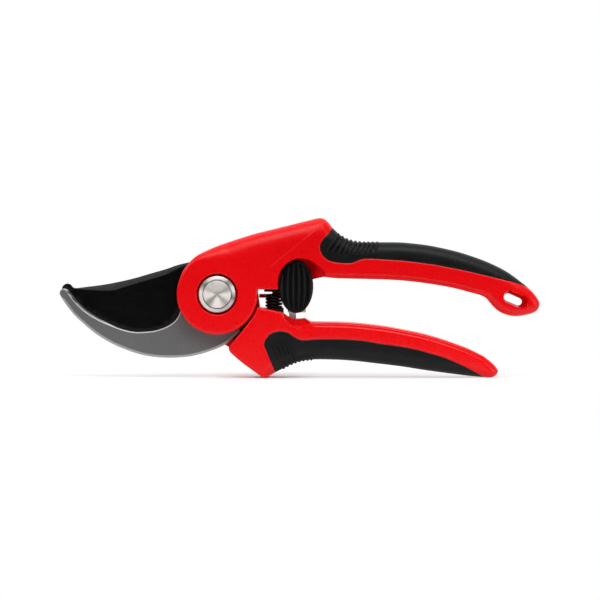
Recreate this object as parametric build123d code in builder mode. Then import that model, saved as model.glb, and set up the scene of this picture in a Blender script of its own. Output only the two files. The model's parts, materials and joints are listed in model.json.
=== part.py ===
"""Bypass pruning shears, closed and standing on the lower handle.

Millimetres, +Z up, the bolt head faces -Y. Outlines are drawn on a side view whose
origin is the pivot: u runs right, w runs up and f runs towards the viewer (-Y).
"""
from build123d import *
import math
import os

os.makedirs("parts", exist_ok=True)

# Reach of the ends and of the feet from the pivot
TIP_REACH = 67.4
HANDLE_REACH = 138.4
TAIL_REACH = 120.6
FOOT_DROP = 35.9

# Where the plain stretch of each arm starts, and the end that keeps its shape at any reach
UPPER_START = 62.0
UPPER_END = 32.4
LOWER_START = 47.0
LOWER_END = 25.6

# Layers across the thickness
HALF_THICK = 9.0
PLATE_GAP = 0.1
HOOK_THICK = 3.4
BLADE_THICK = 3.0
EDGE_BEVEL = 2.4
EDGE_BEVEL_WIDE = 6.0
SPINE_BEVEL = 0.9
SPINE_BEVEL_WIDE = 3.4
HOOK_BEVEL = 0.6

# Pivot joint
BOSS_R = 17.5
BOSS_GAP = 0.7
UNDERSIDE = 2.0
DISC_R = 16.0
BUSH_R = 5.0
SHANK_R = 4.0
RUN_CLEAR = 0.05
HEAD_R = 6.1
HEAD_LOW = 0.1
COLLAR_R = 7.9
COLLAR_LOW = 0.4
COLLAR_BASE = 0.6
RECESS_R = 8.8
FRONT_RECESS = 3.0
BACK_RECESS = 4.4
WASHER_THICK = 0.75
NUT_FLATS = 13.0
NUT_LOW = 0.2
INSERT_R = 5.3
INSERT_THICK = 1.1

# Slit in the lower handle that takes the heel of the hook as the handles open
SLIT_R = 26.8
SLIT_SIDE = 16.6
SLIT_CLEAR = 0.3

# Soft grips moulded over a core
GRIP_WALL = 3.0
CORE_HALF = 5.0
UPPER_CORE_IN = 34.4
LOWER_CORE_IN = 16.6
ARM_ROUND = 4.7
ARM_HALF = 8.7
HEAD_ROUND = 1.2
CROWN_ROUND = 6.0

# Return spring between the handles
SPRING_BACK = 9.5
SPRING_R = 3.15
WIRE_R = 0.575
TURNS = 10
POCKET_CLEAR = 0.5
POCKET_TOP = 11.3
POCKET_FLOOR = -11.7
SEAT_THICK = 1.0
SEAT_CLEAR = 0.1
PEG_R = 1.9
PEG_LONG = 3.0

# Sliding lock
LOCK_U = 33.8
LOCK_W = 2.9
LOCK_HALF_U = 7.1
LOCK_HALF_W = 11.3
LOCK_TRAVEL = 4.0
LOCK_LOW = 0.5
BUTTON_THICK = 3.3
PLATE_HALF_U = 6.2
PLATE_HALF_W = 9.0
WEB_HALF = 4.6
SLIDE_HALF = 1.2
SLIDE_CLEAR = 0.3
SLIDE_BACK = 3.6
SLIDE_WIDE = 7.8
SLIDE_TOP = 12.0
SLIDE_LOW = -8.0
STEM_W = 8.2
STEM_HALF = 2.0
LEG_BACK = 3.0
LEG_WIDE = 3.0
TOE_REACH = 2.8
TOE_LOW = -16.4
TOE_THICK = 1.7
LIP_REACH = 5.0
LOCK_SCREW_R = 1.3
LOCK_SCREW_HEAD_R = 2.5
LOCK_SCREW_SINK = 1.4
RIDGE_PITCH = 2.4
RIDGE_WIDE = 1.0
RIDGE_DEPTH = 0.7
LEAF_THICK = 0.4
LEAF_RISE = 0.6
WELL_DROP = 0.9
WELL_RIM = 1.7
WELL_FLARE = 1.8

# Guard rib behind the spring
RIB_TOP = -0.2
RIB_LOW = -1.85
RIB_NEAR = 4.6
RIB_FAR = 7.2
RIB_BACK = 6.8
RIB_LEG = 3.5

# Dowels that hold the tangs, and the hanging hole
DOWEL_R = 1.5
DOWEL_HALF = 4.6
HANG_IN = 11.4
HANG_W = -2.5
HANG_LONG = 9.2
HANG_WIDE = 4.6
HANG_TILT = -24.0
HANG_FLARE = 2.0
HANG_FLARE_START = 3.2

PIVOT_X = (TIP_REACH - HANDLE_REACH) / 2
GAP_R = BOSS_R + BOSS_GAP
LAP = PLATE_GAP / 2
HOOK_FACE = LAP + HOOK_THICK
BLADE_FACE = LAP + BLADE_THICK
FRONT_FLOOR = HALF_THICK - FRONT_RECESS
BACK_FLOOR = HALF_THICK - BACK_RECESS
WASHER_FACE = BACK_FLOOR + RUN_CLEAR + WASHER_THICK
NUT_FACE = HALF_THICK - NUT_LOW
BUTTON_FACE = HALF_THICK - LOCK_LOW
BUTTON_BACK = BUTTON_FACE - BUTTON_THICK
SLOT_HALF = SLIDE_HALF + SLIDE_CLEAR
POCKET_R = SPRING_R + WIRE_R + POCKET_CLEAR
SPRING_U = LOCK_U - SPRING_BACK
SLIDE_LEFT = LOCK_U - SLIDE_BACK
LEG_LEFT = LOCK_U - LEG_BACK
TOE_TIP = LOCK_U + TOE_REACH
LIP_EDGE = LOCK_U + LIP_REACH
RIB_END = LOCK_U - RIB_BACK
FAR = 60.0


def upper_span(share):
    """Place along the upper arm between its head and its end."""
    return UPPER_START + share * (HANDLE_REACH - UPPER_END - UPPER_START)


def lower_span(share):
    """Place along the lower arm between its head and its end."""
    return LOWER_START + share * (TAIL_REACH - LOWER_END - LOWER_START)


def jaw(share, w):
    """Outline point of a jaw, at a share of the way from the pivot to the tip."""
    return (-share * TIP_REACH, w)


# Moulding lines where each grip meets its handle
UPPER_LINE = [(50.3, 28.6), (45.2, 23.1), (44.3, 20.1), (46.9, 15.4), (54.8, 13.2), (62.4, 14.9),
              (upper_span(0.41), 14.1), (HANDLE_REACH - 30.7, 9.6), (HANDLE_REACH - 5.4, 3.0)]
LOWER_LINE = [(25.4, -35.0), (20.9, -23.3), (20.9, -19.0), (25.2, -16.0), (34.6, -19.2), (42.4, -19.5),
              (lower_span(1 / 3), -20.3), (lower_span(3 / 4), -23.2), (TAIL_REACH - 16.3, -30.2),
              (TAIL_REACH - 4.6, -37.0)]

# Sections of the arms: distance from the pivot, top, bottom, half thickness
UPPER_ARM = [(44.4, 25.5, 8.5, ARM_HALF), (47.2, 30.0, 7.3, ARM_HALF), (49.4, 27.9, 6.8, ARM_HALF),
             (52.7, 24.8, 6.5, ARM_HALF), (56.1, 22.9, 6.4, ARM_HALF), (UPPER_START, 22.1, 6.3, ARM_HALF),
             (upper_span(1 / 3), 22.0, 5.7, ARM_HALF), (upper_span(2 / 3), 20.6, 4.1, 8.4),
             (HANDLE_REACH - UPPER_END, 17.1, 1.1, 7.8), (HANDLE_REACH - 24.4, 14.2, -1.2, 7.3),
             (HANDLE_REACH - 20.4, 12.5, -4.9, 7.1), (HANDLE_REACH - 16.4, 10.5, -8.1, 6.9),
             (HANDLE_REACH - 11.4, 7.4, -9.5, 6.7), (HANDLE_REACH - 6.4, 3.5, -9.2, 6.4),
             (HANDLE_REACH - 2.4, -0.2, -8.0, 6.0), (HANDLE_REACH, -3.2, -5.6, 4.4)]
LOWER_ARM = [(20.0, -9.0, -32.0, ARM_HALF), (24.5, -9.5, -33.8, ARM_HALF), (29.0, -10.7, -31.6, ARM_HALF),
             (34.0, -11.3, -29.3, ARM_HALF), (40.0, -11.8, -28.3, ARM_HALF),
             (LOWER_START, -12.1, -28.1, ARM_HALF),
             (lower_span(1 / 6), -12.4, -28.4, ARM_HALF), (lower_span(1 / 3), -13.0, -29.1, ARM_HALF),
             (lower_span(1 / 2), -14.0, -30.1, ARM_HALF), (lower_span(2 / 3), -15.4, -31.1, 8.6),
             (lower_span(5 / 6), -16.9, -32.4, 8.4), (TAIL_REACH - LOWER_END, -19.1, -33.6, 8.1),
             (TAIL_REACH - 18.1, -21.8, -34.6, 7.7), (TAIL_REACH - 11.6, -24.4, -35.4, 7.2),
             (TAIL_REACH - 6.1, -27.2, -35.8, 6.7), (TAIL_REACH - 2.3, -30.0, -FOOT_DROP, 6.1),
             (TAIL_REACH, -32.6, -34.4, 4.7)]

# Dowel places on the side view
HOOK_DOWELS = [(27.0, 18.6), (55.0, 16.4)]
BLADE_DOWELS = [(19.5, -19.0), (52.0, -20.6)]


def side(f):
    """Side-view plane through the pivot, f in front of the sliding plane."""
    return Plane(origin=(PIVOT_X, -f, FOOT_DROP), x_dir=(1, 0, 0), z_dir=(0, -1, 0))


def across(u, top, bottom):
    """Plane across a handle arm, centred between its top and bottom."""
    middle = (PIVOT_X + u, 0, FOOT_DROP + (top + bottom) / 2)
    return Plane(origin=middle, x_dir=(0, 1, 0), z_dir=(1, 0, 0))


def upright(w):
    """Level plane through the spring axis at height w."""
    return Plane(origin=(PIVOT_X + SPRING_U, 0, FOOT_DROP + w))


def polar(radius, degrees):
    """Point of the side view at an angle round the pivot."""
    angle = math.radians(degrees)
    return (radius * math.cos(angle), radius * math.sin(angle))


def face_of(draw, f):
    """Closed outline drawn on the side view at depth f."""
    with BuildSketch(side(f)) as face:
        with BuildLine():
            draw()
        make_face()
    return face.sketch


def hook_line():
    tip_low = (0.4 - TIP_REACH, -1.6)
    inner = Spline((1.7 - TIP_REACH, 2.3), jaw(0.91, -3.6), jaw(0.782, -10.2), jaw(0.651, -14.1),
                   jaw(0.49, -16.5), jaw(0.335, -14.1), (-15.9, -7.4))
    neck = Line(inner @ 1, polar(DISC_R, 188))
    crown = ThreePointArc(neck @ 1, polar(DISC_R, 130), polar(DISC_R, 72))
    tang = Polyline(crown @ 1, (22.0, 21.4), (46.0, 21.5), (62.0, 17.2), (62.0, 12.2), (46.0, 15.4),
                    (22.0, 15.2), polar(DISC_R, 28))
    flank = ThreePointArc(tang @ 1, polar(DISC_R, -12), polar(DISC_R, -52))
    heel = Line(flank @ 1, (9.7, -16.3))
    outer = Spline(heel @ 1, (1.1, -22.9), (-9.2, -26.4), jaw(0.303, -27.4), jaw(0.533, -25.1),
                   jaw(0.737, -18.7), jaw(0.89, -10.4), tip_low)
    ThreePointArc(outer @ 1, (-TIP_REACH, 0.5), inner @ 0)


def blade_line():
    tip = (0.8 - TIP_REACH, 2.0)
    edge = Spline((-9.0, -14.2), jaw(0.297, -18.3), jaw(0.475, -20.6), jaw(0.653, -18.4), jaw(0.816, -12.2),
                  jaw(0.92, -5.0), tip)
    nose = ThreePointArc(edge @ 1, (2.7 - TIP_REACH, 4.2), (5.0 - TIP_REACH, 2.9))
    step = Line(nose @ 1, (6.8 - TIP_REACH, 2.25))
    spine = Spline(step @ 1, jaw(0.737, 3.7), jaw(0.533, 6.6), (-16.1, 12.6), polar(DISC_R, 112),
                   tangents=[(1, 0.08), (0.927, 0.375)])
    crown = ThreePointArc(spine @ 1, polar(DISC_R, 40), polar(DISC_R, -35))
    tang = Polyline(crown @ 1, (18.0, -13.4), (29.0, -18.8), (62.0, -17.6), (62.0, -23.4), (30.0, -25.8),
                    (12.0, -23.0), (2.0, -17.5))
    Line(tang @ 1, edge @ 0)


def upper_head_line():
    start = polar(BOSS_R, 160)
    under = (math.sqrt(BOSS_R ** 2 - UNDERSIDE ** 2), UNDERSIDE)
    top = Spline(start, (-9.2, 16.2), (1.1, 20.9), (14.8, 25.2), (42.4, 32.1),
                 tangents=[(0.342, 0.94), (0.97, 0.24)])
    corner = TangentArc(top @ 1, (47.2, 30.8), tangent=top % 1)
    wrap = Polyline(corner @ 1, (51.0, 26.8), (52.0, 14.0), (46.6, 7.3))
    scoop = Spline(wrap @ 1, (41.1, 6.3), (33.0, 3.6), (26.1, UNDERSIDE), tangents=[(-1, 0.05), (-1, 0)])
    floor = Line(scoop @ 1, under)
    ThreePointArc(floor @ 1, polar(BOSS_R, -90), start)


def lower_head_line():
    corner = (4.9, -22.9)
    spread = math.degrees(math.acos(GAP_R / math.hypot(*corner)))
    meet = math.degrees(math.atan2(corner[1], corner[0])) + spread
    arc = ThreePointArc(polar(GAP_R, -17.6), polar(GAP_R, (meet - 17.6) / 2), polar(GAP_R, meet))
    heel = Polyline(arc @ 1, corner, (5.4, -24.6), (18.3, 0.7 - FOOT_DROP))
    foot = ThreePointArc(heel @ 1, (20.2, -FOOT_DROP), (21.9, 0.4 - FOOT_DROP))
    wrap = Polyline(foot @ 1, (26.5, -33.2), (27.0, -19.0), (40.2, -17.0), (40.2, -12.0), (37.5, -10.5))
    scoop = ThreePointArc(wrap @ 1, (32.6, -10.6), (28.0, -7.8))
    Line(scoop @ 1, arc @ 0)


def neck_line():
    Polyline((0, 0), (BOSS_R, 0), (18.3, -5.8), (22.0, -14.0), (12.0, -29.4), (5.4, -24.6), (4.9, -22.9),
             polar(BOSS_R, -118), (0, 0))


def behind_line():
    meet = polar(GAP_R, 45)
    Polyline((0, 0), meet, (meet[0] - FAR, meet[1] + FAR), (-2 * FAR, FAR), (-2 * FAR, -FAR),
             (0, -FAR), (0, 0))


def upper_zone():
    line = Spline(*UPPER_LINE)
    Polyline(line @ 1, (HANDLE_REACH + 20, 3.0), (HANDLE_REACH + 20, FAR), (70, FAR), line @ 0)


def lower_zone():
    line = Spline(*LOWER_LINE)
    Polyline(line @ 1, (TAIL_REACH - 4.6, -FAR), (30, -FAR), line @ 0)


def core_line(stations, stop):
    inside = [row for row in stations if row[0] <= stop]
    over = [(u, top - GRIP_WALL) for u, top, bottom, half in inside]
    below = [(u, bottom + GRIP_WALL) for u, top, bottom, half in reversed(inside)]
    Polyline(*over, *below, over[0])


# Hook: the fixed lower jaw, with its tang in the upper handle
with BuildPart() as hook_blade:
    extrude(face_of(hook_line, LAP), amount=HOOK_THICK)
    with BuildSketch(side(LAP)):
        Circle(BUSH_R)
        with Locations(*HOOK_DOWELS):
            Circle(DOWEL_R)
    extrude(amount=HOOK_THICK, mode=Mode.SUBTRACT)
    rim = hook_blade.edges().filter_by(GeomType.BSPLINE).group_by(Axis.Y)[0]
    chamfer(rim.sort_by(Axis.Z)[-1], HOOK_BEVEL)
hook_blade.part.label = "hook_blade"
export_step(hook_blade.part, "parts/hook_blade.step")

# Cutting blade: the upper jaw, ground on its far side, with its tang in the lower handle
with BuildPart() as cutting_blade:
    extrude(face_of(blade_line, -BLADE_FACE), amount=BLADE_THICK)
    with BuildSketch(side(-BLADE_FACE)):
        Circle(BUSH_R + RUN_CLEAR)
        with Locations(*BLADE_DOWELS):
            Circle(DOWEL_R)
    extrude(amount=BLADE_THICK, mode=Mode.SUBTRACT)
    curves = cutting_blade.edges().filter_by(GeomType.BSPLINE)
    ground = curves.group_by(Axis.Y)[-1].sort_by(Axis.Z)[0]
    far_face = cutting_blade.faces().sort_by(Axis.Y)[-1]
    chamfer(ground, EDGE_BEVEL_WIDE, EDGE_BEVEL, reference=far_face)
    spine = cutting_blade.edges().filter_by(GeomType.BSPLINE).group_by(Axis.Y)[0].sort_by(Axis.Z)[-1]
    near_face = cutting_blade.faces().sort_by(Axis.Y)[0]
    chamfer(spine, SPINE_BEVEL_WIDE, SPINE_BEVEL, reference=near_face)
cutting_blade.part.label = "cutting_blade"
export_step(cutting_blade.part, "parts/cutting_blade.step")

# Upper arm and lower arm before the grips are parted from them
with BuildPart() as upper_arm:
    for u, top, bottom, half in UPPER_ARM:
        with BuildSketch(across(u, top, bottom)):
            RectangleRounded(2 * half, top - bottom, min(ARM_ROUND, 0.45 * (top - bottom)))
    loft()

with BuildPart() as lower_arm:
    for u, top, bottom, half in LOWER_ARM:
        with BuildSketch(across(u, top, bottom)):
            RectangleRounded(2 * half, top - bottom, min(ARM_ROUND, 0.45 * (top - bottom)))
    loft()

# Well round the lock button: wide at the face, closing on the web between the two sides
with BuildPart() as lock_well:
    for sign in (1, -1):
        with BuildSketch(side(sign * WEB_HALF)):
            with Locations((LOCK_U + LOCK_TRAVEL / 2, LOCK_W - WELL_DROP)):
                Ellipse(LOCK_HALF_U + LOCK_TRAVEL, LOCK_HALF_W + WELL_RIM)
        with BuildSketch(side(sign * (HALF_THICK + PLATE_GAP))):
            with Locations((LOCK_U + LOCK_TRAVEL / 2 + WELL_FLARE / 4, LOCK_W - WELL_DROP - WELL_FLARE)):
                Ellipse(LOCK_HALF_U + LOCK_TRAVEL + WELL_FLARE / 4, LOCK_HALF_W + WELL_RIM + WELL_FLARE)
        loft()

# Flared cutter for the hanging hole
with BuildPart() as hang_cut:
    for sign in (1, -1):
        with BuildSketch(side(0)):
            with Locations((HANDLE_REACH - HANG_IN, HANG_W)):
                SlotOverall(HANG_LONG, HANG_WIDE, rotation=HANG_TILT)
        extrude(amount=sign * FAR)
        with BuildSketch(side(sign * HANG_FLARE_START)):
            with Locations((HANDLE_REACH - HANG_IN, HANG_W)):
                SlotOverall(HANG_LONG, HANG_WIDE, rotation=HANG_TILT)
        with BuildSketch(side(sign * HALF_THICK)):
            with Locations((HANDLE_REACH - HANG_IN, HANG_W)):
                SlotOverall(HANG_LONG + 2 * HANG_FLARE, HANG_WIDE + 2 * HANG_FLARE, rotation=HANG_TILT)
        loft()

# Cutter that rounds the crown of the upper head, running in from outside the boss
with BuildPart() as crown_cut:
    with BuildLine(side(HALF_THICK)) as ridge:
        Spline((-15.0, 19.5), (0.0, 22.6), (14.8, 25.6), (42.4, 32.1), (54.0, 35.0))
    start = ridge.line % 0
    with BuildSketch(Plane(origin=ridge.line @ 0, x_dir=(-start.Z, 0, start.X), z_dir=start)):
        with BuildLine():
            round_arc = RadiusArc((0, -CROWN_ROUND), (-CROWN_ROUND, 0), -CROWN_ROUND)
            Polyline(round_arc @ 1, (-CROWN_ROUND, 2), (FAR / 4, 2), (FAR / 4, -CROWN_ROUND), round_arc @ 0)
        make_face()
    sweep()
    mirror(about=Plane.XZ)

# Upper handle: boss and head in front, lapped behind, with the core of its grip
with BuildPart() as upper_handle:
    extrude(face_of(upper_head_line, -HALF_THICK), amount=2 * HALF_THICK)
    for face in (upper_handle.faces().sort_by(Axis.Y)[0], upper_handle.faces().sort_by(Axis.Y)[-1]):
        fillet(face.edges().filter_by(GeomType.CIRCLE).sort_by(Axis.Z)[0], HEAD_ROUND)
    add(crown_cut.part, mode=Mode.SUBTRACT)
    add(upper_arm.part)
    extrude(face_of(upper_zone, -FAR), amount=2 * FAR, mode=Mode.SUBTRACT)
    with BuildSketch(side(-CORE_HALF)):
        with BuildLine():
            core_line(UPPER_ARM, HANDLE_REACH - UPPER_CORE_IN)
        make_face()
    extrude(amount=2 * CORE_HALF)
    extrude(face_of(behind_line, -FAR), amount=FAR + LAP, mode=Mode.SUBTRACT)
    with BuildSketch(side(-FAR)):
        Circle(GAP_R)
    extrude(amount=FAR + LAP, mode=Mode.SUBTRACT)
    add(hook_blade.part, mode=Mode.SUBTRACT)
    with BuildSketch(side(FRONT_FLOOR)):
        Circle(RECESS_R)
    extrude(amount=FAR, mode=Mode.SUBTRACT)
    with BuildSketch(side(0)):
        Circle(BUSH_R)
    extrude(amount=FAR, mode=Mode.SUBTRACT)
    add(lock_well.part, mode=Mode.SUBTRACT)
    with BuildSketch(side(-SLOT_HALF)):
        with Locations((SLIDE_LEFT - SLIDE_CLEAR, SLIDE_TOP + LEAF_RISE + LEAF_THICK)):
            Rectangle(SLIDE_WIDE + LOCK_TRAVEL + 2 * SLIDE_CLEAR, FAR, align=(Align.MIN, Align.MAX))
    extrude(amount=2 * SLOT_HALF, mode=Mode.SUBTRACT)
    with BuildSketch(side(-FAR)):
        with Locations((LOCK_U + LOCK_TRAVEL / 2, STEM_W)):
            Rectangle(2 * STEM_HALF + LOCK_TRAVEL + 2 * SLIDE_CLEAR, 2 * STEM_HALF + 2 * SLIDE_CLEAR)
    extrude(amount=2 * FAR, mode=Mode.SUBTRACT)
    with BuildSketch(upright(-FAR)):
        Circle(POCKET_R)
    extrude(amount=FAR + POCKET_TOP, mode=Mode.SUBTRACT)
    with BuildSketch(side(-RIB_FAR)):
        with Locations((GAP_R + BOSS_GAP, RIB_LOW)):
            Rectangle(RIB_END - GAP_R - BOSS_GAP, RIB_TOP - RIB_LOW, align=(Align.MIN, Align.MIN))
        with Locations((RIB_END, RIB_LOW)):
            Rectangle(RIB_LEG, UNDERSIDE + 1 - RIB_LOW, align=(Align.MAX, Align.MIN))
    extrude(amount=RIB_FAR - RIB_NEAR)
    with BuildSketch(side(-DOWEL_HALF)):
        with Locations(*HOOK_DOWELS):
            Circle(DOWEL_R)
    extrude(amount=2 * DOWEL_HALF, mode=Mode.SUBTRACT)
    add(hang_cut.part, mode=Mode.SUBTRACT)
upper_handle.part.label = "upper_handle"
export_step(upper_handle.part, "parts/upper_handle.step")

# Upper grip
with BuildPart() as upper_grip:
    add(upper_arm.part)
    extrude(face_of(upper_zone, -FAR), amount=2 * FAR, mode=Mode.INTERSECT)
    with BuildSketch(side(-CORE_HALF)):
        with BuildLine():
            core_line(UPPER_ARM, HANDLE_REACH - UPPER_CORE_IN)
        make_face()
    extrude(amount=2 * CORE_HALF, mode=Mode.SUBTRACT)
upper_grip.part.label = "upper_grip"
export_step(upper_grip.part, "parts/upper_grip.step")

# Lower handle: head in front of the slit, boss behind, with the core of its grip
with BuildPart() as lower_handle:
    extrude(face_of(lower_head_line, -HALF_THICK), amount=2 * HALF_THICK)
    for face in (lower_handle.faces().sort_by(Axis.Y)[0], lower_handle.faces().sort_by(Axis.Y)[-1]):
        fillet(face.edges().filter_by(GeomType.CIRCLE).sort_by(Axis.Z)[0], HEAD_ROUND)
    add(lower_arm.part)
    extrude(face_of(lower_zone, -FAR), amount=2 * FAR, mode=Mode.SUBTRACT)
    with BuildSketch(side(-CORE_HALF)):
        with BuildLine():
            core_line(LOWER_ARM, TAIL_REACH - LOWER_CORE_IN)
        make_face()
    extrude(amount=2 * CORE_HALF)
    extrude(face_of(neck_line, -HALF_THICK), amount=HALF_THICK - LAP)
    with BuildSketch(side(-HALF_THICK)):
        Circle(BOSS_R)
    extrude(amount=HALF_THICK - LAP)
    with BuildSketch(side(-LAP)):
        Circle(SLIT_R)
        with Locations((SLIDE_LEFT, 0)):
            Rectangle(2 * (SLIDE_LEFT - SLIT_SIDE), 2 * FAR, mode=Mode.SUBTRACT)
    extrude(amount=LAP + HOOK_FACE + SLIT_CLEAR, mode=Mode.SUBTRACT)
    add(cutting_blade.part, mode=Mode.SUBTRACT)
    with BuildSketch(side(-BACK_FLOOR)):
        Circle(RECESS_R)
    extrude(amount=-FAR, mode=Mode.SUBTRACT)
    with BuildSketch(side(0)):
        Circle(BUSH_R + RUN_CLEAR)
    extrude(amount=-FAR, mode=Mode.SUBTRACT)
    add(lock_well.part, mode=Mode.SUBTRACT)
    with BuildSketch(side(-SLOT_HALF)):
        with Locations((LEG_LEFT - 2 * SLIDE_CLEAR, TOE_LOW - 2 * SLIDE_CLEAR)):
            Rectangle(LIP_EDGE - LEG_LEFT + 2 * SLIDE_CLEAR, FAR, align=(Align.MIN, Align.MIN))
            Rectangle(TOE_TIP + LOCK_TRAVEL - LEG_LEFT + 4 * SLIDE_CLEAR, TOE_THICK + 3 * SLIDE_CLEAR,
                      align=(Align.MIN, Align.MIN))
    extrude(amount=2 * SLOT_HALF, mode=Mode.SUBTRACT)
    with BuildSketch(upright(POCKET_FLOOR)):
        Circle(POCKET_R)
    extrude(amount=FAR, mode=Mode.SUBTRACT)
    with BuildSketch(side(-DOWEL_HALF)):
        with Locations(*BLADE_DOWELS):
            Circle(DOWEL_R)
    extrude(amount=2 * DOWEL_HALF, mode=Mode.SUBTRACT)
lower_handle.part.label = "lower_handle"
export_step(lower_handle.part, "parts/lower_handle.step")

# Lower grip
with BuildPart() as lower_grip:
    add(lower_arm.part)
    extrude(face_of(lower_zone, -FAR), amount=2 * FAR, mode=Mode.INTERSECT)
    with BuildSketch(side(-CORE_HALF)):
        with BuildLine():
            core_line(LOWER_ARM, TAIL_REACH - LOWER_CORE_IN)
        make_face()
    extrude(amount=2 * CORE_HALF, mode=Mode.SUBTRACT)
lower_grip.part.label = "lower_grip"
export_step(lower_grip.part, "parts/lower_grip.step")

# Pivot bolt: plain turned head in front, shank through to the nut
with BuildPart() as pivot_bolt:
    with BuildSketch(side(FRONT_FLOOR + COLLAR_BASE)):
        Circle(HEAD_R)
    extrude(amount=FRONT_RECESS - COLLAR_BASE - HEAD_LOW)
    chamfer(pivot_bolt.edges().sort_by(Axis.Y)[0], 0.3)
    with BuildSketch(side(FRONT_FLOOR + COLLAR_BASE)):
        Circle(SHANK_R)
    extrude(amount=-(FRONT_FLOOR + COLLAR_BASE + NUT_FACE))
    chamfer(pivot_bolt.edges().sort_by(Axis.Y)[-1], 0.4)
pivot_bolt.part.label = "pivot_bolt"
export_step(pivot_bolt.part, "parts/pivot_bolt.step")

# Cup washer round the bolt head
with BuildPart() as pivot_collar:
    with BuildSketch(side(FRONT_FLOOR)):
        Circle(COLLAR_R)
    extrude(amount=FRONT_RECESS - COLLAR_LOW)
    chamfer(pivot_collar.edges().sort_by(Axis.Y)[0], 0.5)
    with BuildSketch(side(FRONT_FLOOR + COLLAR_BASE)):
        Circle(HEAD_R + RUN_CLEAR)
    extrude(amount=FRONT_RECESS, mode=Mode.SUBTRACT)
    with BuildSketch(side(FRONT_FLOOR)):
        Circle(SHANK_R + RUN_CLEAR)
    extrude(amount=COLLAR_BASE, mode=Mode.SUBTRACT)
pivot_collar.part.label = "pivot_collar"
export_step(pivot_collar.part, "parts/pivot_collar.step")

# Bearing sleeve that both jaws sit on
with BuildPart() as pivot_bush:
    with BuildSketch(side(-BACK_FLOOR - RUN_CLEAR)):
        Circle(BUSH_R)
        Circle(SHANK_R + RUN_CLEAR, mode=Mode.SUBTRACT)
    extrude(amount=BACK_FLOOR + RUN_CLEAR + FRONT_FLOOR)
pivot_bush.part.label = "pivot_bush"
export_step(pivot_bush.part, "parts/pivot_bush.step")

# Washer under the nut
with BuildPart() as pivot_washer:
    with BuildSketch(side(-WASHER_FACE)):
        Circle(COLLAR_R)
        Circle(SHANK_R + RUN_CLEAR, mode=Mode.SUBTRACT)
    extrude(amount=WASHER_THICK)
    chamfer(pivot_washer.edges().filter_by(GeomType.CIRCLE).sort_by(SortBy.RADIUS)[-2:], 0.2)
pivot_washer.part.label = "pivot_washer"
export_step(pivot_washer.part, "parts/pivot_washer.step")

# Lock nut with a ring of nylon in its mouth
with BuildPart() as pivot_nut:
    with BuildSketch(side(-NUT_FACE)):
        RegularPolygon(NUT_FLATS / 2, 6, major_radius=False)
    extrude(amount=NUT_FACE - WASHER_FACE)
    with BuildSketch(side(-NUT_FACE)):
        Circle(SHANK_R)
    extrude(amount=NUT_FACE, mode=Mode.SUBTRACT)
    with BuildSketch(side(-NUT_FACE)):
        Circle(INSERT_R)
    extrude(amount=INSERT_THICK, mode=Mode.SUBTRACT)
pivot_nut.part.label = "pivot_nut"
export_step(pivot_nut.part, "parts/pivot_nut.step")

with BuildPart() as nut_insert:
    with BuildSketch(side(-NUT_FACE)):
        Circle(INSERT_R)
        Circle(SHANK_R + RUN_CLEAR, mode=Mode.SUBTRACT)
    extrude(amount=INSERT_THICK)
nut_insert.part.label = "nut_insert"
export_step(nut_insert.part, "parts/nut_insert.step")

# Spring seats: a disc with a peg at the end of each pocket
with BuildPart() as upper_spring_seat:
    with BuildSketch(upright(POCKET_TOP)):
        Circle(POCKET_R - SEAT_CLEAR)
    extrude(amount=-SEAT_THICK)
    with BuildSketch(upright(POCKET_TOP)):
        Circle(PEG_R)
    extrude(amount=-SEAT_THICK - PEG_LONG)
    chamfer(upper_spring_seat.edges().sort_by(Axis.Z)[0], 0.4)
upper_spring_seat.part.label = "upper_spring_seat"
export_step(upper_spring_seat.part, "parts/upper_spring_seat.step")

with BuildPart() as lower_spring_seat:
    with BuildSketch(upright(POCKET_FLOOR)):
        Circle(POCKET_R - SEAT_CLEAR)
    extrude(amount=SEAT_THICK)
    with BuildSketch(upright(POCKET_FLOOR)):
        Circle(PEG_R)
    extrude(amount=SEAT_THICK + PEG_LONG)
    chamfer(lower_spring_seat.edges().sort_by(Axis.Z)[-1], 0.4)
lower_spring_seat.part.label = "lower_spring_seat"
export_step(lower_spring_seat.part, "parts/lower_spring_seat.step")

# Return spring: a chain of tangent quarter arcs that follows a helix
SPRING_LOW = POCKET_FLOOR + SEAT_THICK + WIRE_R + SEAT_CLEAR
SPRING_HIGH = POCKET_TOP - SEAT_THICK - WIRE_R - SEAT_CLEAR
PITCH = (SPRING_HIGH - SPRING_LOW) / TURNS


def coil_point(quarter):
    """Point of the spring's centre line after so many quarter turns."""
    angle = math.radians(90 * quarter)
    along = PIVOT_X + SPRING_U + SPRING_R * math.cos(angle)
    rise = SPRING_LOW + PITCH * quarter / 4
    return Vector(along, SPRING_R * math.sin(angle), FOOT_DROP + rise)


with BuildPart() as return_spring:
    with BuildLine() as coil:
        heading = Vector(0, 2 * math.pi * SPRING_R, PITCH)
        for quarter in range(4 * TURNS):
            arc = TangentArc(coil_point(quarter), coil_point(quarter + 1), tangent=heading)
            heading = arc % 1
    with BuildSketch(Plane(origin=coil.line @ 0, z_dir=coil.line % 0)):
        Circle(WIRE_R)
    sweep()
return_spring.part.label = "return_spring"
export_step(return_spring.part, "parts/return_spring.step")

# Least gap between neighbouring turns, measured on points of the centre line
path = [coil.wire().position_at(i / (40 * TURNS)) for i in range(40 * TURNS + 1)]
gap = min((path[i] - path[j]).length for i in range(len(path)) for j in range(i + 20, len(path)))
print("spring gap", round(gap - 2 * WIRE_R, 2))

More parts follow.
